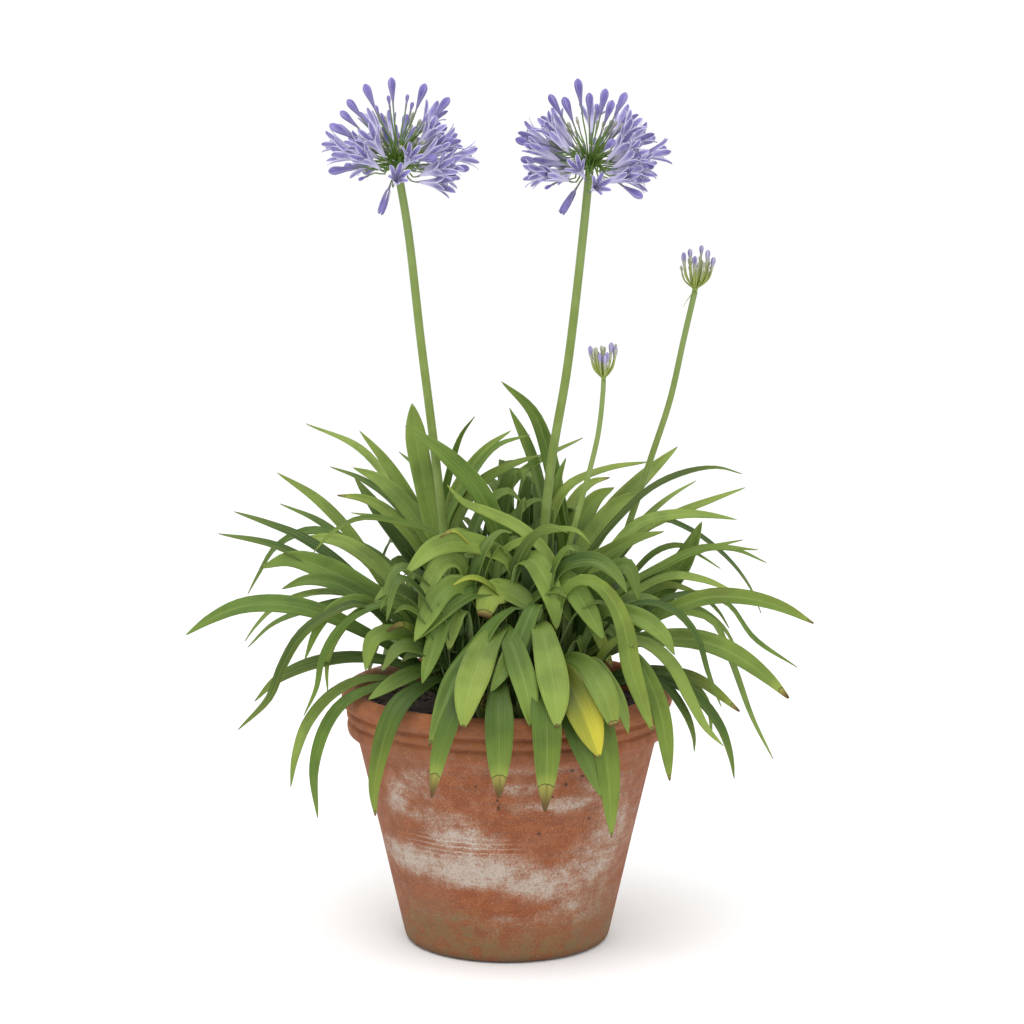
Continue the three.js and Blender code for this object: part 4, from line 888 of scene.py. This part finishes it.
def make_leaf(name, greens, gloss, underside):
    material, node, shader = new_finish(name, gloss, 1.4)
    across, along, tone = node("split", node("mesh_vector", attribute_name="leaf_at"))
    from_tip, dry, yellow = node("split", node("mesh_vector", attribute_name="leaf_state"))
    side = node("mesh_number", attribute_name="leaf_side")
    spread = node("absolute", side)
    deep, middle, light = greens

    lanes = node("join", across, node("multiply", along, 0.022), node("multiply", tone, 40))
    streaks = node("noise", lanes, 0.6, 4, 0.6)
    clouds = node("noise", node("object_place"), per(38), 3, 0.5)
    veins = node("step", node("sine", node("multiply", across, math.tau / VEIN_MM)), -0.2, 0.9)

    green = node("mix", node("step", tone, 0.0, 0.55), deep, middle)
    for share, colour in ((node("step", tone, 0.5, 1.0, 0.0, 0.9), light),
                          (node("step", clouds, 0.38, 0.66, 0.0, 0.45), deep),
                          (node("step", streaks, 0.45, 0.7, 0.0, 0.25), light),
                          (node("multiply", veins, 0.24), deep),
                          (node("step", spread, 0.02, 0.1, 0.13, 0.0), "#9cb367"),
                          (node("step", spread, 0.92, 1.0, 0.0, 0.25), light),
                          # painted shade: the green darkens strongly towards the leaf's base, where the
                          # crowded heart shades it
                          (node("step", along, 20, 200, 0.85, 0.0), "#1c300c"),
                          (node("step", from_tip, 10, 70, 0.3, 0.0), light)):
        green = node("mix", share, green, colour)

    ripe = node("multiply", yellow, node("step", along, 110, 190, 0.1, 1.0))
    ripe = node("multiply", ripe, node("step", side, -0.1, 0.25, 1.0, 0.5))
    ripe = node("multiply", ripe, node("step", streaks, 0.4, 0.66, 1.0, 0.72))
    green = node("mix", node("minimum", node("maximum", ripe, 0.0), 0.95), green, "#b9b134")
    # The edge of the dead tip bows away from the point, and is a little ragged.
    bowed = node("add", from_tip, node("multiply", node("multiply", spread, spread), 2.5))
    bowed = node("add", bowed, node("multiply", streaks, 2.5))
    beyond = node("subtract", bowed, dry)
    old, died = node("step", dry, 4.0, 9.0), node("step", dry, 0.5, 2.0)
    fading = node("multiply", node("step", beyond, 1.0, 16.0, 0.55, 0.0), old)
    green = node("mix", fading, green, "#8f9c45")
    line = node("multiply", node("step", beyond, 1.4, 2.2, 1.0, 0.0), 0.85)
    green = node("mix", node("multiply", line, died), green, "#3d3616")
    husk = node("multiply", node("step", beyond, 0.2, 1.2, 1.0, 0.0), died)
    point = node("step", node("divide", from_tip, node("maximum", dry, 0.5)), 0.15, 1.0, 1.0, 0.0)
    straw = node("mix", point, "#8f8c47", "#5e4428")
    straw = node("mix", node("step", streaks, 0.45, 0.65, 0.0, 0.5), straw, "#5d5a2c")
    green = node("mix", husk, green, straw)
    if underside:
        green = node("mix", 0.35, green, "#93a86e")

    wear = node("maximum", husk, node("multiply", clouds, 0.3))
    creases = node("bump", 0.45, 0.0009, streaks, node("bump", 0.35, 0.0003, veins))
    fill(shader, {"Specular IOR Level": 0.35, "Base Color": green, "Normal": creases,
                  "Roughness": node("between", wear, gloss, 0.8)})
    return material


leaf_face = make_leaf("waxy_leaf_face", ("#324917", "#587427", "#869a46"), 0.42, False)
leaf_back = make_leaf("leaf_underside", ("#3b561f", "#5b7735", "#7c9350"), 0.5, True)
print("leaf finishes:", leaf_face.name, leaf_back.name)

# %% [markdown]
# ## The six fans
# The leaves of one crown rise together from a stub of rootstock wrapped in old leaf bases. Each fan is one
# piece and takes the place of its solid. The sheets get their thickness from a Solidify modifier, downwards,
# so that the upper face stays where it was laid and the underside takes its own finish.

# %% Rootstocks and fans
SHEATH_FOOT = 232
FINISHES["sheath"] = (9, 0.5, 0.3)


def lay_rootstock(bm, layers, crown, draw):
    """Short sheathing bases along a crown: overlapping upright scales."""
    layer, half = crown
    for i in range(int(half / 4)):
        x = half * (2 * (i + draw(0.2, 0.8)) / int(half / 4) - 1) * 0.94
        foot = Vector((x, layer_depth(layer, x) + draw(-CROWN_THICK, CROWN_THICK), SHEATH_FOOT))
        lean = Vector((draw(-6, 6), draw(-5, 5), draw(30, 52)))
        points = [foot, foot + lean * 0.5 + Vector((0, 0, 3)), foot + lean]
        lay_leaf(bm, layers, {"points": points, "width": draw(13, 19), "turn": 0.0, "key": "sheath"}, draw)


def thicken(piece, thickness):
    wall = piece.modifiers.new("wall", "SOLIDIFY")
    wall.thickness = thickness * MM
    wall.offset = -1
    wall.material_offset = 1


fan_draw = Draw(FAN_SEED)
for number, crown in enumerate(CROWNS, 1):
    bm = bmesh.new()
    layers = leaf_layers(bm)
    for leaf in leaves:
        if leaf["fan"] == number:
            lay_leaf(bm, layers, leaf, fan_draw)
    lay_rootstock(bm, layers, crown, fan_draw)
    skins = [leaf_face, leaf_back]
    thicken(finish_piece(f"leaves_of_crown_{number}", bm, skins, [f"leaf_fan_{number}"]), 0.9)

# %% [markdown]
# ## Leaves between the leaves
# The heart of a crowded plant is too full to see into. Shorter and younger leaves fill the spaces between the
# long ones, low down and in the shade, and their green is painted darker as that shade. They keep inside the
# outline of the fans, so a rule and a seed are enough to place them. Four old leaves hang among them,
# shrivelled or turning yellow.

# %% Young and dead leaves
YOUNG_LEAVES = 120
# The old leaves: width, layer, dry length, how yellow, and points.
OLD_LEAVES = [
    (8, -60, 14, 0.4, [(-30, -50), (-44, -28), (-58, -18), (-73, -25)]),
    (8, -76, 2, 0.5, [(-8, -92), (-24, -71), (-42, -65), (-60, -73)]),
    (10, -64, 2, 0.9, [(84, -152), (96, -135), (110, -127), (122, -135)]),
    (8, -56, 20, 0.8, [(-86, -132), (-100, -116), (-112, -112), (-125, -119)]),
]


def inner_leaf(draw):
    """A short leaf that rises beside the long ones and leans outwards."""
    number = int(draw(1.0, 5.999))
    layer, half = CROWNS[number]
    root_x = draw(-half, half)
    side = root_x + draw(-95, 95)
    height = draw(70, 235) * (1 - 0.45 * abs(side) / 160)
    drop = draw(0.72, 1.0) if abs(side) > 60 else draw(0.9, 1.0)
    nearer = layer + draw(-CROWN_THICK, CROWN_THICK)
    points = []
    for share, level in ((0.0, 0.0), (0.25, 0.45), (0.6, 0.9), (0.85, 1.0), (1.0, drop)):
        x = lerp(root_x, side, share ** 1.3)
        points.append(Vector((x, layer_depth(nearer, x), ROOT_Z + height * level)))
    # painted shade: these leaves keep to the deep end of the greens, darkened as if shaded in the heart
    return {"points": points, "width": draw(12, 21), "turn": draw(0.2, 0.7), "key": None, "painted_shade_tone_scale": 0.3}


bm = bmesh.new()
layers = leaf_layers(bm)
filler_draw = Draw(YOUNG_SEED)
for _ in range(YOUNG_LEAVES):
    lay_leaf(bm, layers, inner_leaf(filler_draw), filler_draw)
for i, (width, layer, dry, yellow, route) in enumerate(OLD_LEAVES):
    FINISHES["old", i] = (dry, yellow, 0.1)
    free = [in_layer(across, up, layer) for across, up in route]
    lay_leaf(bm, layers, {"points": rooted(free, CROWNS[1], 0.55 * free[0].x), "width": width, "turn": 0.6,
                          "key": ("old", i)}, filler_draw)
thicken(finish_piece("young_leaves", bm, [leaf_face, leaf_back], []), 0.8)

# %% [markdown]
# ## Flower stalks
# Each umbel stands on a bare round scape, about as thick as a pencil and a little narrower at the top. It is
# a tube swept along the stalk's own slight curve, with its seam merged and both ends closed.

# %% Scapes
# Layer, radius at the soil and at the umbel, and points on the drawing plane from low to high.
SCAPES = {
    "scape_left": (0, 4.8, 4.0, [(-56, -150), (-66, -40), (-78, 67), (-91, 170), (-104, 282), (-114.5, 344)]),
    "scape_right": (0, 5.0, 4.1, [(20, -150), (30, -40), (40, 54), (55, 142), (70.5, 272), (77.5, 341)]),
    "scape_bud_tall": (42, 3.8, 3.0, [(76, -110), (100, -60), (121, 0), (141, 60), (158, 112), (172, 174),
                                      (183, 221)]),
    "scape_bud_short": (-42, 3.2, 2.4, [(34, -150), (42, -100), (52, -52), (68, 6), (86, 77), (91, 120),
                                        (91.6, 132)]),
}
SCAPE_FOOT = 206                # height of a scape's foot, down in the soil


def scape_route(name):
    layer, _, _, rows = SCAPES[name]
    points = [in_layer(across, up, layer) for across, up in rows]
    return Route([Vector((points[0].x, points[0].y, SCAPE_FOOT)), *points])


def make_stalk(name, low, high, flush, gloss=0.45):
    """Smooth green stalk skin: fine length-wise lines, and a flush of another colour towards the far end."""
    material, node, shader = new_finish(name, gloss, 1.45)
    spot = node("object_place")
    share = node("split", node("mesh_vector", attribute_name="stalk_at"))[1]
    lines = node("noise", node("stretch", spot, (1, 1, 0.08)), per(1.8), 3)
    blotches = node("noise", spot, per(24), 3)
    green = node("mix", node("step", share, 0.0, 0.8), low, high)
    green = node("mix", node("step", lines, 0.4, 0.66, 0.0, 0.35), green, low)
    green = node("mix", node("step", blotches, 0.42, 0.66, 0.0, 0.3), green, "#8a9c56")
    green = node("mix", node("step", share, 0.62, 1.0, 0.0, 0.7), green, flush)
    fill(shader, {"Base Color": green, "Normal": node("bump", 0.3, 0.0003, lines)})
    return material


scape_skin = make_stalk("smooth_scape", "#5a6e26", "#6d8031", "#788c50")
for name, (_, low, high, _) in SCAPES.items():
    bm = bmesh.new()
    layer = bm.verts.layers.float_vector.new("stalk_at")
    route = scape_route(name)
    tube(bm, route, lambda share: lerp(low, high, share), 16, 44, layer, 0.5)
    bmesh.ops.recalc_face_normals(bm, faces=bm.faces)
    finish_piece(name + "_stalk", bm, [scape_skin], [name])

# %% [markdown]
# ## One floret, one bud
# An agapanthus floret is a funnel of six tepals, joined low down and flared and rolled back at the tips, with
# a dark stripe down each tepal and six curved stamens. A bud is the same floret still shut, a club with a
# point. Each is made once, standing on the origin and pointing up, and then copied into place. That keeps all
# the florets of an umbel alike, and the copies are turned and scaled so that no two look stamped.

# %% Floret pattern
FLORET_RUN = [                  # height up the floret, distance from its axis, half width of a tepal, in mm
    (-1.5, 0.9, 0.5), (2.5, 2.0, 1.15), (8, 2.9, 1.8), (13, 3.9, 2.5), (18, 5.4, 3.2), (23, 7.4, 3.7),
    (27.5, 9.4, 3.8), (31.5, 11.6, 3.4), (34.2, 13.6, 2.3), (35.2, 14.8, 0.4),
]


def run_at(table, share):
    """Reads a table of rows at a share of its length."""
    spot = clamp(share, 0, 1) * (len(table) - 1)
    low = min(int(spot), len(table) - 2)
    return [lerp(a, b, spot - low) for a, b in zip(table[low], table[low + 1])]


def petal_layer(bm):
    return bm.verts.layers.float_vector.get("petal_at") or bm.verts.layers.float_vector.new("petal_at")


def lay_tepal(bm, layer, angle, openness, inner):
    """One tepal, as a cupped sheet that stands out from the floret's axis."""
    outward = Vector((math.cos(angle), math.sin(angle), 0))
    aside = Vector((-math.sin(angle), math.cos(angle), 0))

    def place(u, v):
        height, out, half = run_at(FLORET_RUN, v)
        out = lerp(2.2 + 2.6 * math.sin(min(v, 0.95) * math.pi) if v > 0.1 else 1.0, out, openness)
        half *= lerp(0.62, 1, openness)
        height = lerp(height * 1.05, height, openness)
        side = 2 * u - 1
        cup = -0.55 * half * side * side * lerp(0.9, 0.35, v) - (0.45 * v if inner else 0)
        wave = 0.5 * math.sin(v * 9 + 2 * side) * v * abs(side)
        point = outward * (out + cup) + aside * (half * side) + Vector((0, 0, height + wave))
        return point, {layer: Vector((side, v, 0.0))}

    return sheet(bm, 4, 11, place)


def lay_stamen(bm, layer, angle, openness):
    """A thread that leans out and turns up, with a dark anther across its end."""
    outward = Vector((math.cos(angle), math.sin(angle), 0))
    reach = lerp(2.5, 6.5, openness)
    route = Route([outward * 1.2 + Vector((0, 0, 8)), outward * (reach * 0.6) + Vector((0, 0, 19)),
                   outward * reach + Vector((0, 0, 25.5)), outward * (reach * 0.9) + Vector((0, 0, 28.5))])
    tube(bm, route, lambda share: 0.32, 4, 5, layer, 2.0)
    head = bmesh.ops.create_icosphere(bm, subdivisions=1, radius=0.8)["verts"]
    bmesh.ops.scale(bm, vec=(0.8, 1.5, 0.7), verts=head)
    bmesh.ops.rotate(bm, matrix=Matrix.Rotation(angle, 3, "Z"), verts=head)
    bmesh.ops.translate(bm, vec=route.points[-1], verts=head)
    for vertex in head:
        vertex[layer] = Vector((0, 0, 3.0))


def keep_pattern(name, bm):
    """Turns a bmesh into a mesh that is only there to be copied."""
    mesh = bpy.data.meshes.new(name)
    bm.to_mesh(mesh)
    bm.free()
    return mesh


def floret_mesh(openness):
    bm = bmesh.new()
    layer = petal_layer(bm)
    for i in range(6):
        lay_tepal(bm, layer, math.tau * i / 6, openness, i % 2)
    bmesh.ops.solidify(bm, geom=bm.faces[:], thickness=0.3)
    if openness > 0.3:
        for i in range(6):
            lay_stamen(bm, layer, math.tau * (i + 0.5) / 6, openness)
    return keep_pattern("floret_pattern", bm)


BUD_STEPS = 15
BUD_RUN = [                     # height up the bud and its radius, in mm
    (-1.0, 0.8), (1.5, 1.5), (6, 2.2), (11, 3.2), (15, 4.0), (18.5, 4.4), (21.5, 3.9), (23.6, 2.6),
    (24.8, 1.1), (25.2, 0.0),
]


def bud_mesh():
    """A club of revolution, pinched lightly along three seams where the outer tepals meet."""
    bm = bmesh.new()
    layer = petal_layer(bm)
    corners = [bm.verts.new((radius, 0, height)) for height, radius in [(-1.0, 0.0), *BUD_RUN]]
    for a, b in zip(corners, corners[1:]):
        bm.edges.new((a, b))
    bmesh.ops.spin(bm, geom=bm.verts[:] + bm.edges[:], cent=(0, 0, 0), axis=(0, 0, 1), angle=math.tau,
                   steps=BUD_STEPS, use_merge=True)
    bmesh.ops.remove_doubles(bm, verts=bm.verts, dist=1e-3)
    for vertex in bm.verts:
        angle = math.atan2(vertex.co.y, vertex.co.x)
        pinch = 1 - 0.09 * abs(math.cos(1.5 * angle)) ** 6 * clamp(vertex.co.z / 20, 0, 1)
        vertex.co.x *= pinch
        vertex.co.y *= pinch
        vertex[layer] = Vector((math.sin(1.5 * angle), clamp(vertex.co.z / 25, 0, 1), 0.0))
    bmesh.ops.recalc_face_normals(bm, faces=bm.faces)
    return keep_pattern("bud_pattern", bm)


OPENNESS = {"open": 1.0, "half": 0.55, "spent": 0.12}
PATTERNS = {kind: floret_mesh(openness) for kind, openness in OPENNESS.items()}
PATTERNS["bud"] = bud_mesh()
print({name: len(mesh.polygons) for name, mesh in PATTERNS.items()})

# %% [markdown]
# ## Petal, bud and pedicel colour
# The tepals are lilac-blue, paler at their edges and nearly white in the throat, each with a violet stripe
# down its middle. They are soft and matt, thin enough that light makes them glow a little. Buds are deeper
# blue with a paler, greener base. Pedicels are green and flush purple where the flower joins.

# %% Petal materials
def make_petal(name, deep, body, edge, base):
    material, node, shader = new_finish(name, 0.55, 1.4)
    side, run, kind = node("split", node("mesh_vector", attribute_name="petal_at"))
    spread = node("absolute", side)
    fibres = node("noise", node("join", side, node("multiply", run, 0.5)), 7, 3)
    clouds = node("noise", node("object_place"), per(16), 2)
    stripe = node("multiply", node("step", spread, 0.05, 0.17, 1.0, 0.0), node("step", run, 0.35, 0.6))
    unripe = node("multiply", node("step", kind, 0.4, 0.6, 0.0, 0.65), node("step", kind, 1.4, 1.6, 1.0, 0.0))
    colour = node("mix", node("step", clouds, 0.36, 0.66), body, deep)
    # The last three are for unripe buds (kind 1), the threads of stamens (kind 2) and anthers (kind 3).
    for share, over in ((node("multiply", node("step", spread, 0.45, 1.0), 0.75), edge),
                        (node("step", fibres, 0.48, 0.7, 0.0, 0.4), edge),
                        (node("multiply", stripe, 0.6), "#6a61ae"),
                        (node("step", run, 0.2, 0.62, 0.75, 0.0), base),
                        (unripe, "#a5a872"),
                        (node("step", kind, 1.4, 1.6), "#e6e2f4"),
                        (node("step", kind, 2.4, 2.6), "#5a4c72")):
        colour = node("mix", share, colour, over)
    fill(shader, {"Sheen Weight": 0.15, "Sheen Roughness": 0.4, "Base Color": colour,
                  "Normal": node("bump", 0.25, 0.0003, fibres)})
    return material


petal_skin = make_petal("lilac_tepals", "#665f97", "#8a84ba", "#e6e3f6", "#d0cbe6")
bud_skin = make_petal("violet_buds", "#5a5290", "#7169a4", "#928bbd", "#7f7aa2")
young_skin = make_petal("green_violet_buds", "#6a6492", "#847ea8", "#aca8bf", "#a3a878")
pedicel_skin = make_stalk("green_pedicels", "#4d6b20", "#5f7e2a", "#6d6486", 0.5)
young_pedicel_skin = make_stalk("yellow_green_pedicels", "#7c8c3a", "#93a04e", "#8a8a6a", 0.5)
print("flower finishes:", petal_skin.name, bud_skin.name, young_skin.name, pedicel_skin.name,
      young_pedicel_skin.name)

# %% [markdown]
# ## An umbel
# All the pedicels of an umbel spring from one point on top of the scape. Those that show were set out one by
# one from that hub: where each flower's far end is, across, up and to the back. The far half follows a rule
# that spreads flowers round the back at even angles, and the last ones fill in the sides.

# %% Where the flowers are
FAR_END = {"open": 37, "half": 34, "bud": 25, "young": 11, "spent": 27}
UMBELS = {
    "umbel_left": {
        "scape": "scape_left", "open": 5, "buds": 4, "lift": (-0.15, 0.75), "seed": 11,
        "heads": [
            ("bud", -6, 85, 6), ("bud", -32, 77, 10), ("bud", -49, 64, -14), ("bud", 28, 78, -8),
            ("bud", 51, 64, 12), ("bud", -58, 52, 12), ("bud", -66, 38, -4), ("young", -8, 66, -14),
            ("young", 10, 67, 14), ("young", 16, 60, -22), ("young", 30, 47, -36), ("young", -20, 57, -26),
            ("open", -70, 14, -12), ("open", -30, 36, -46), ("open", 44, 46, -28), ("open", 66, 28, 4),
            ("open", 66, 4, -22), ("open", 22, 20, -62), ("open", 6, -4, -70), ("open", 58, -20, -34),
            ("bud", -68, -8, 6), ("young", -50, 0, -26), ("young", -36, -14, -40), ("spent", -16, -47, -14),
        ],
    },
    "umbel_right": {
        "scape": "scape_right", "open": 5, "buds": 4, "lift": (-0.15, 0.75), "seed": 23,
        "heads": [
            ("bud", -12, 85, 4), ("bud", -1, 74, -20), ("bud", 16, 75, 14), ("young", 6, 62, -28),
            ("bud", 22, 66, -22), ("bud", 36, 72, 6), ("bud", -40, 71, 4), ("bud", -26, 68, -20),
            ("open", -52, 50, -20), ("open", -70, -6, -14), ("open", -20, 10, -66), ("open", 50, 52, -22),
            ("open", 66, 38, 10), ("open", 14, -12, -68), ("open", 64, -14, -22), ("bud", -74, 27, 8),
            ("bud", 76, 18, 6), ("bud", 22, 28, -58), ("bud", 50, -28, -44), ("young", -46, 20, -36),
            ("young", -44, -20, -30), ("spent", -27, -44, -12),
        ],
    },
    "bud_umbel_tall": {
        "scape": "scape_bud_tall", "open": 0, "buds": 2, "lift": (0.7, 0.85), "cup": (0.72, 0.98), "core": 24,
        "seed": 5,
        "bract": [(-2, -2, -4), (-6, -3, -9), (-9, -3, -13), (-12, -2, -19)],
        "heads": [
            ("young", -12, 34, -4), ("young", -6, 38, -9), ("young", 6, 42, -4), ("young", 18, 29, -6),
            ("young", 12, 36, -10), ("young", -1, 30, -12),
        ],
    },
    "bud_umbel_short": {
        "scape": "scape_bud_short", "open": 0, "buds": 2, "lift": (0.8, 0.9), "cup": (0.84, 0.98), "core": 14,
        "seed": 9,
        "heads": [
            ("young", -13, 28, -4), ("young", -4, 22, -9), ("young", 3, 23, -8), ("young", 7, 31, -5),
            ("young", 11, 27, -3), ("young", 1, 20, -11),
        ],
    },
}


def flower_ends(umbel):
    """The flowers listed one by one, and those that the rule spreads round the back."""
    draw = Draw(umbel["seed"])
    reach = Vector(umbel["heads"][0][1:]).length
    count = umbel["open"] + umbel["buds"]
    kinds = ("open", "bud") if umbel["open"] else ("young", "young")
    ends = [(kind, Vector((across, back, up)) * (0.94 if kind == "open" else 1))
            for kind, across, up, back in umbel["heads"]]
    for i in range(count):
        turn = math.pi * (i + 0.5) / count + draw(-0.12, 0.12)
        lift = draw(*umbel["lift"]) * reach
        out = math.sqrt(0.9 * reach * reach - lift * lift)
        ends.append((kinds[i % 2], Vector((out * math.cos(turn), out * math.sin(turn), lift))))
    return ends


def fill_ends(ends, wanted, draw):
    """More flowers for the sides and back, each clear of every flower that is there."""
    taken = [end.normalized() for _, end in ends]
    added = []
    for _ in range(900):
        if len(added) == wanted:
            break
        turn, lift = draw(0, math.tau), draw(-0.2, 0.78)
        flat = math.sqrt(1 - lift * lift)
        way = Vector((flat * math.cos(turn), flat * math.sin(turn), lift))
        front = way.y < -0.1 and abs(way.x) < 0.6
        under = abs(way.x) < 0.45 and lift < 0.25
        if front or under or any(way.angle(other) < 0.27 for other in taken):
            continue
        taken.append(way)
        kind = "open" if draw() < 0.62 and lift < 0.6 else ("half" if draw() < 0.4 else "bud")
        added.append((kind, way * draw(58, 67)))
    return added


print("flowers set out:", sum(len(umbel["heads"]) for umbel in UMBELS.values()))

# %% Stamping an umbel
def stamp(bm, pattern, base, axis, roll, size, green=False):
    """Copies a pattern mesh into bm, turned from upright to axis and moved to base."""
    before = len(bm.verts)
    bm.from_mesh(pattern)
    fresh = bm.verts[before:]
    if green:
        for vertex in fresh:
            vertex[bm.verts.layers.float_vector["petal_at"]].z = 1.0
    turned = Vector((0, 0, 1)).rotation_difference(axis).to_matrix() @ Matrix.Rotation(roll, 3, "Z")
    bmesh.ops.transform(bm, matrix=Matrix.Translation(base) @ (turned * size).to_4x4(), verts=fresh)
    return fresh


def lay_pedicel(bm, layer, hub, start, base, axis, radius, draw):
    """A thin stalk that leaves the hub steeply and bends over to meet its flower."""
    gap = (base - start).length
    bow = lerp(-0.14, 0.1, clamp(axis.z * 2.2 + 0.35, 0, 1))
    leave = ((start - hub).normalized() + Vector((0, 0, 1.6 * bow))).normalized()
    meet = base - axis * gap * 0.3
    middle = (start + meet) / 2 + Vector((0, 0, gap * bow))
    route = Route([start, start + leave * gap * 0.25, middle, meet, base + axis * 1.5])
    tube(bm, route, lambda share: radius * (1 + 0.5 * max(0, share - 0.85) / 0.15), 6, 9, layer, draw())


def lay_cup_pedicel(bm, layer, hub, base, axis, radius, draw):
    """In a young umbel the pedicels leave sideways and curve up together, like the staves of a cup."""
    away = base - hub
    flat = Vector((away.x, away.y, 0))
    route = Route([hub - Vector((0, 0, 0.5)), hub + flat * 0.46 + Vector((0, 0, away.z * 0.24)),
                   hub + flat * 0.84 + Vector((0, 0, away.z * 0.6)), base + axis * 1.0])
    tube(bm, route, lambda share: radius * (0.85 + 0.3 * share), 7, 9, layer, draw())


def lay_inner_pedicels(stalks, buds, layer, hub, hub_radius, count, lift, reach, girth, bud_size, draw):
    """The green heart of an umbel: pedicels of flowers that are still small."""
    for _ in range(count):
        turn, rise = draw(0, math.tau), draw(*lift)
        flat = math.sqrt(1 - rise * rise)
        way = Vector((math.cos(turn) * flat, math.sin(turn) * flat, rise))
        end = hub + way * draw(*reach)
        if girth < 0.8:
            lay_pedicel(stalks, layer, hub, hub + way * 0.6 * hub_radius, end, way, girth, draw)
        else:
            way = Vector((0.25 * way.x, 0.25 * way.y, 1)).normalized()
            lay_cup_pedicel(stalks, layer, hub, end, way, girth, draw)
        stamp(buds, PATTERNS["bud"], end, way, draw(0, math.tau), draw(*bud_size), True)


# The green heart of an open umbel, tier by tier: how many, how steep, how far, girth, and size of the bud.
HEART = [(34, (0.35, 0.97), (30, 46), 0.65, (0.22, 0.42)), (40, (-0.25, 0.6), (24, 36), 0.65, (0.16, 0.24))]
FILLING = 26                    # flowers that fill the sides and back of an open umbel, at most


def facing(kind, way, big):
    """Florets that would look straight out to the front lift their mouths, and young buds stand upright."""
    if not big:
        return Vector((0.3 * way.x, 0.3 * way.y, 1)).normalized()
    lift = 0.5 * max(0.0, -way.y) if kind in ("open", "half") else 0.0
    return (way + Vector((0.3 * lift * (1 if way.x > 0 else -1), 0, lift))).normalized()


def build_umbel(name, umbel):
    scape, draw = SCAPES[umbel["scape"]], Draw(umbel["seed"] * 101)
    big = umbel["open"] > 0
    route = scape_route(umbel["scape"])
    hub_radius = (5.5 if big else 4.4) * scape[2] / 4.0
    hub = route.points[-1] + Vector((0, 0, 0.8 * hub_radius))
    flowers, buds, stalks = bmesh.new(), bmesh.new(), bmesh.new()
    stalk_layer = stalks.verts.layers.float_vector.new("stalk_at")
    petal_layer(flowers)
    petal_layer(buds)
    ball = bmesh.ops.create_uvsphere(stalks, u_segments=20, v_segments=12, radius=hub_radius)["verts"]
    bmesh.ops.scale(stalks, vec=(0.95, 0.95, 0.9), verts=ball)
    bmesh.ops.translate(stalks, vec=hub - Vector((0, 0, 0.1 * hub_radius)), verts=ball)
    ends = flower_ends(umbel)
    ends += fill_ends(ends, FILLING, draw) if big else []
    for kind, end in ends:
        size = draw(0.9, 1.02) * (0.84 if kind == "open" and end.y < -50 else 1)
        far, axis = hub + end, facing(kind, end.normalized(), big)
        base = far - axis * FAR_END[kind]
        leaving = Vector((axis.x, axis.y, max(axis.z, 0.15))).normalized()
        start = hub + leaving * 0.7 * hub_radius
        roll = draw(0, math.tau)
        if big:
            lay_pedicel(stalks, stalk_layer, hub, start, base, axis, 0.8, draw)
        else:
            lay_cup_pedicel(stalks, stalk_layer, hub, base, axis, 1.0, draw)
        if kind in ("open", "half"):
            stamp(flowers, PATTERNS[kind], base, axis, roll, size)
        elif kind == "spent":
            stamp(buds, PATTERNS[kind], base, axis, roll, 0.78)
        else:
            size *= 1 if kind == "bud" else 0.46 if big else 0.6
            stamp(buds, PATTERNS["bud"], base, axis, roll, size)
    for tier in HEART if big else [(umbel["core"], umbel["cup"], (16, 26), 0.9, (0.26, 0.4))]:
        lay_inner_pedicels(stalks, buds, stalk_layer, hub, hub_radius, *tier, draw)
    if umbel.get("bract"):
        strip = Route([hub + Vector(point) for point in umbel["bract"]])
        tube(stalks, strip, lambda share: lerp(0.7, 0.2, share), 5, 8, stalk_layer, 0.9)
    bmesh.ops.recalc_face_normals(stalks, faces=stalks.faces)
    if big:
        finish_piece(name + "_florets", flowers, [petal_skin], [name])
    else:
        flowers.free()
    bud_finish, stalk_finish = (bud_skin, pedicel_skin) if big else (young_skin, young_pedicel_skin)
    finish_piece(name + "_buds", buds, [bud_finish], [name])
    finish_piece(name + "_pedicels", stalks, [stalk_finish], [name])


for name, umbel in UMBELS.items():
    build_umbel(name, umbel)
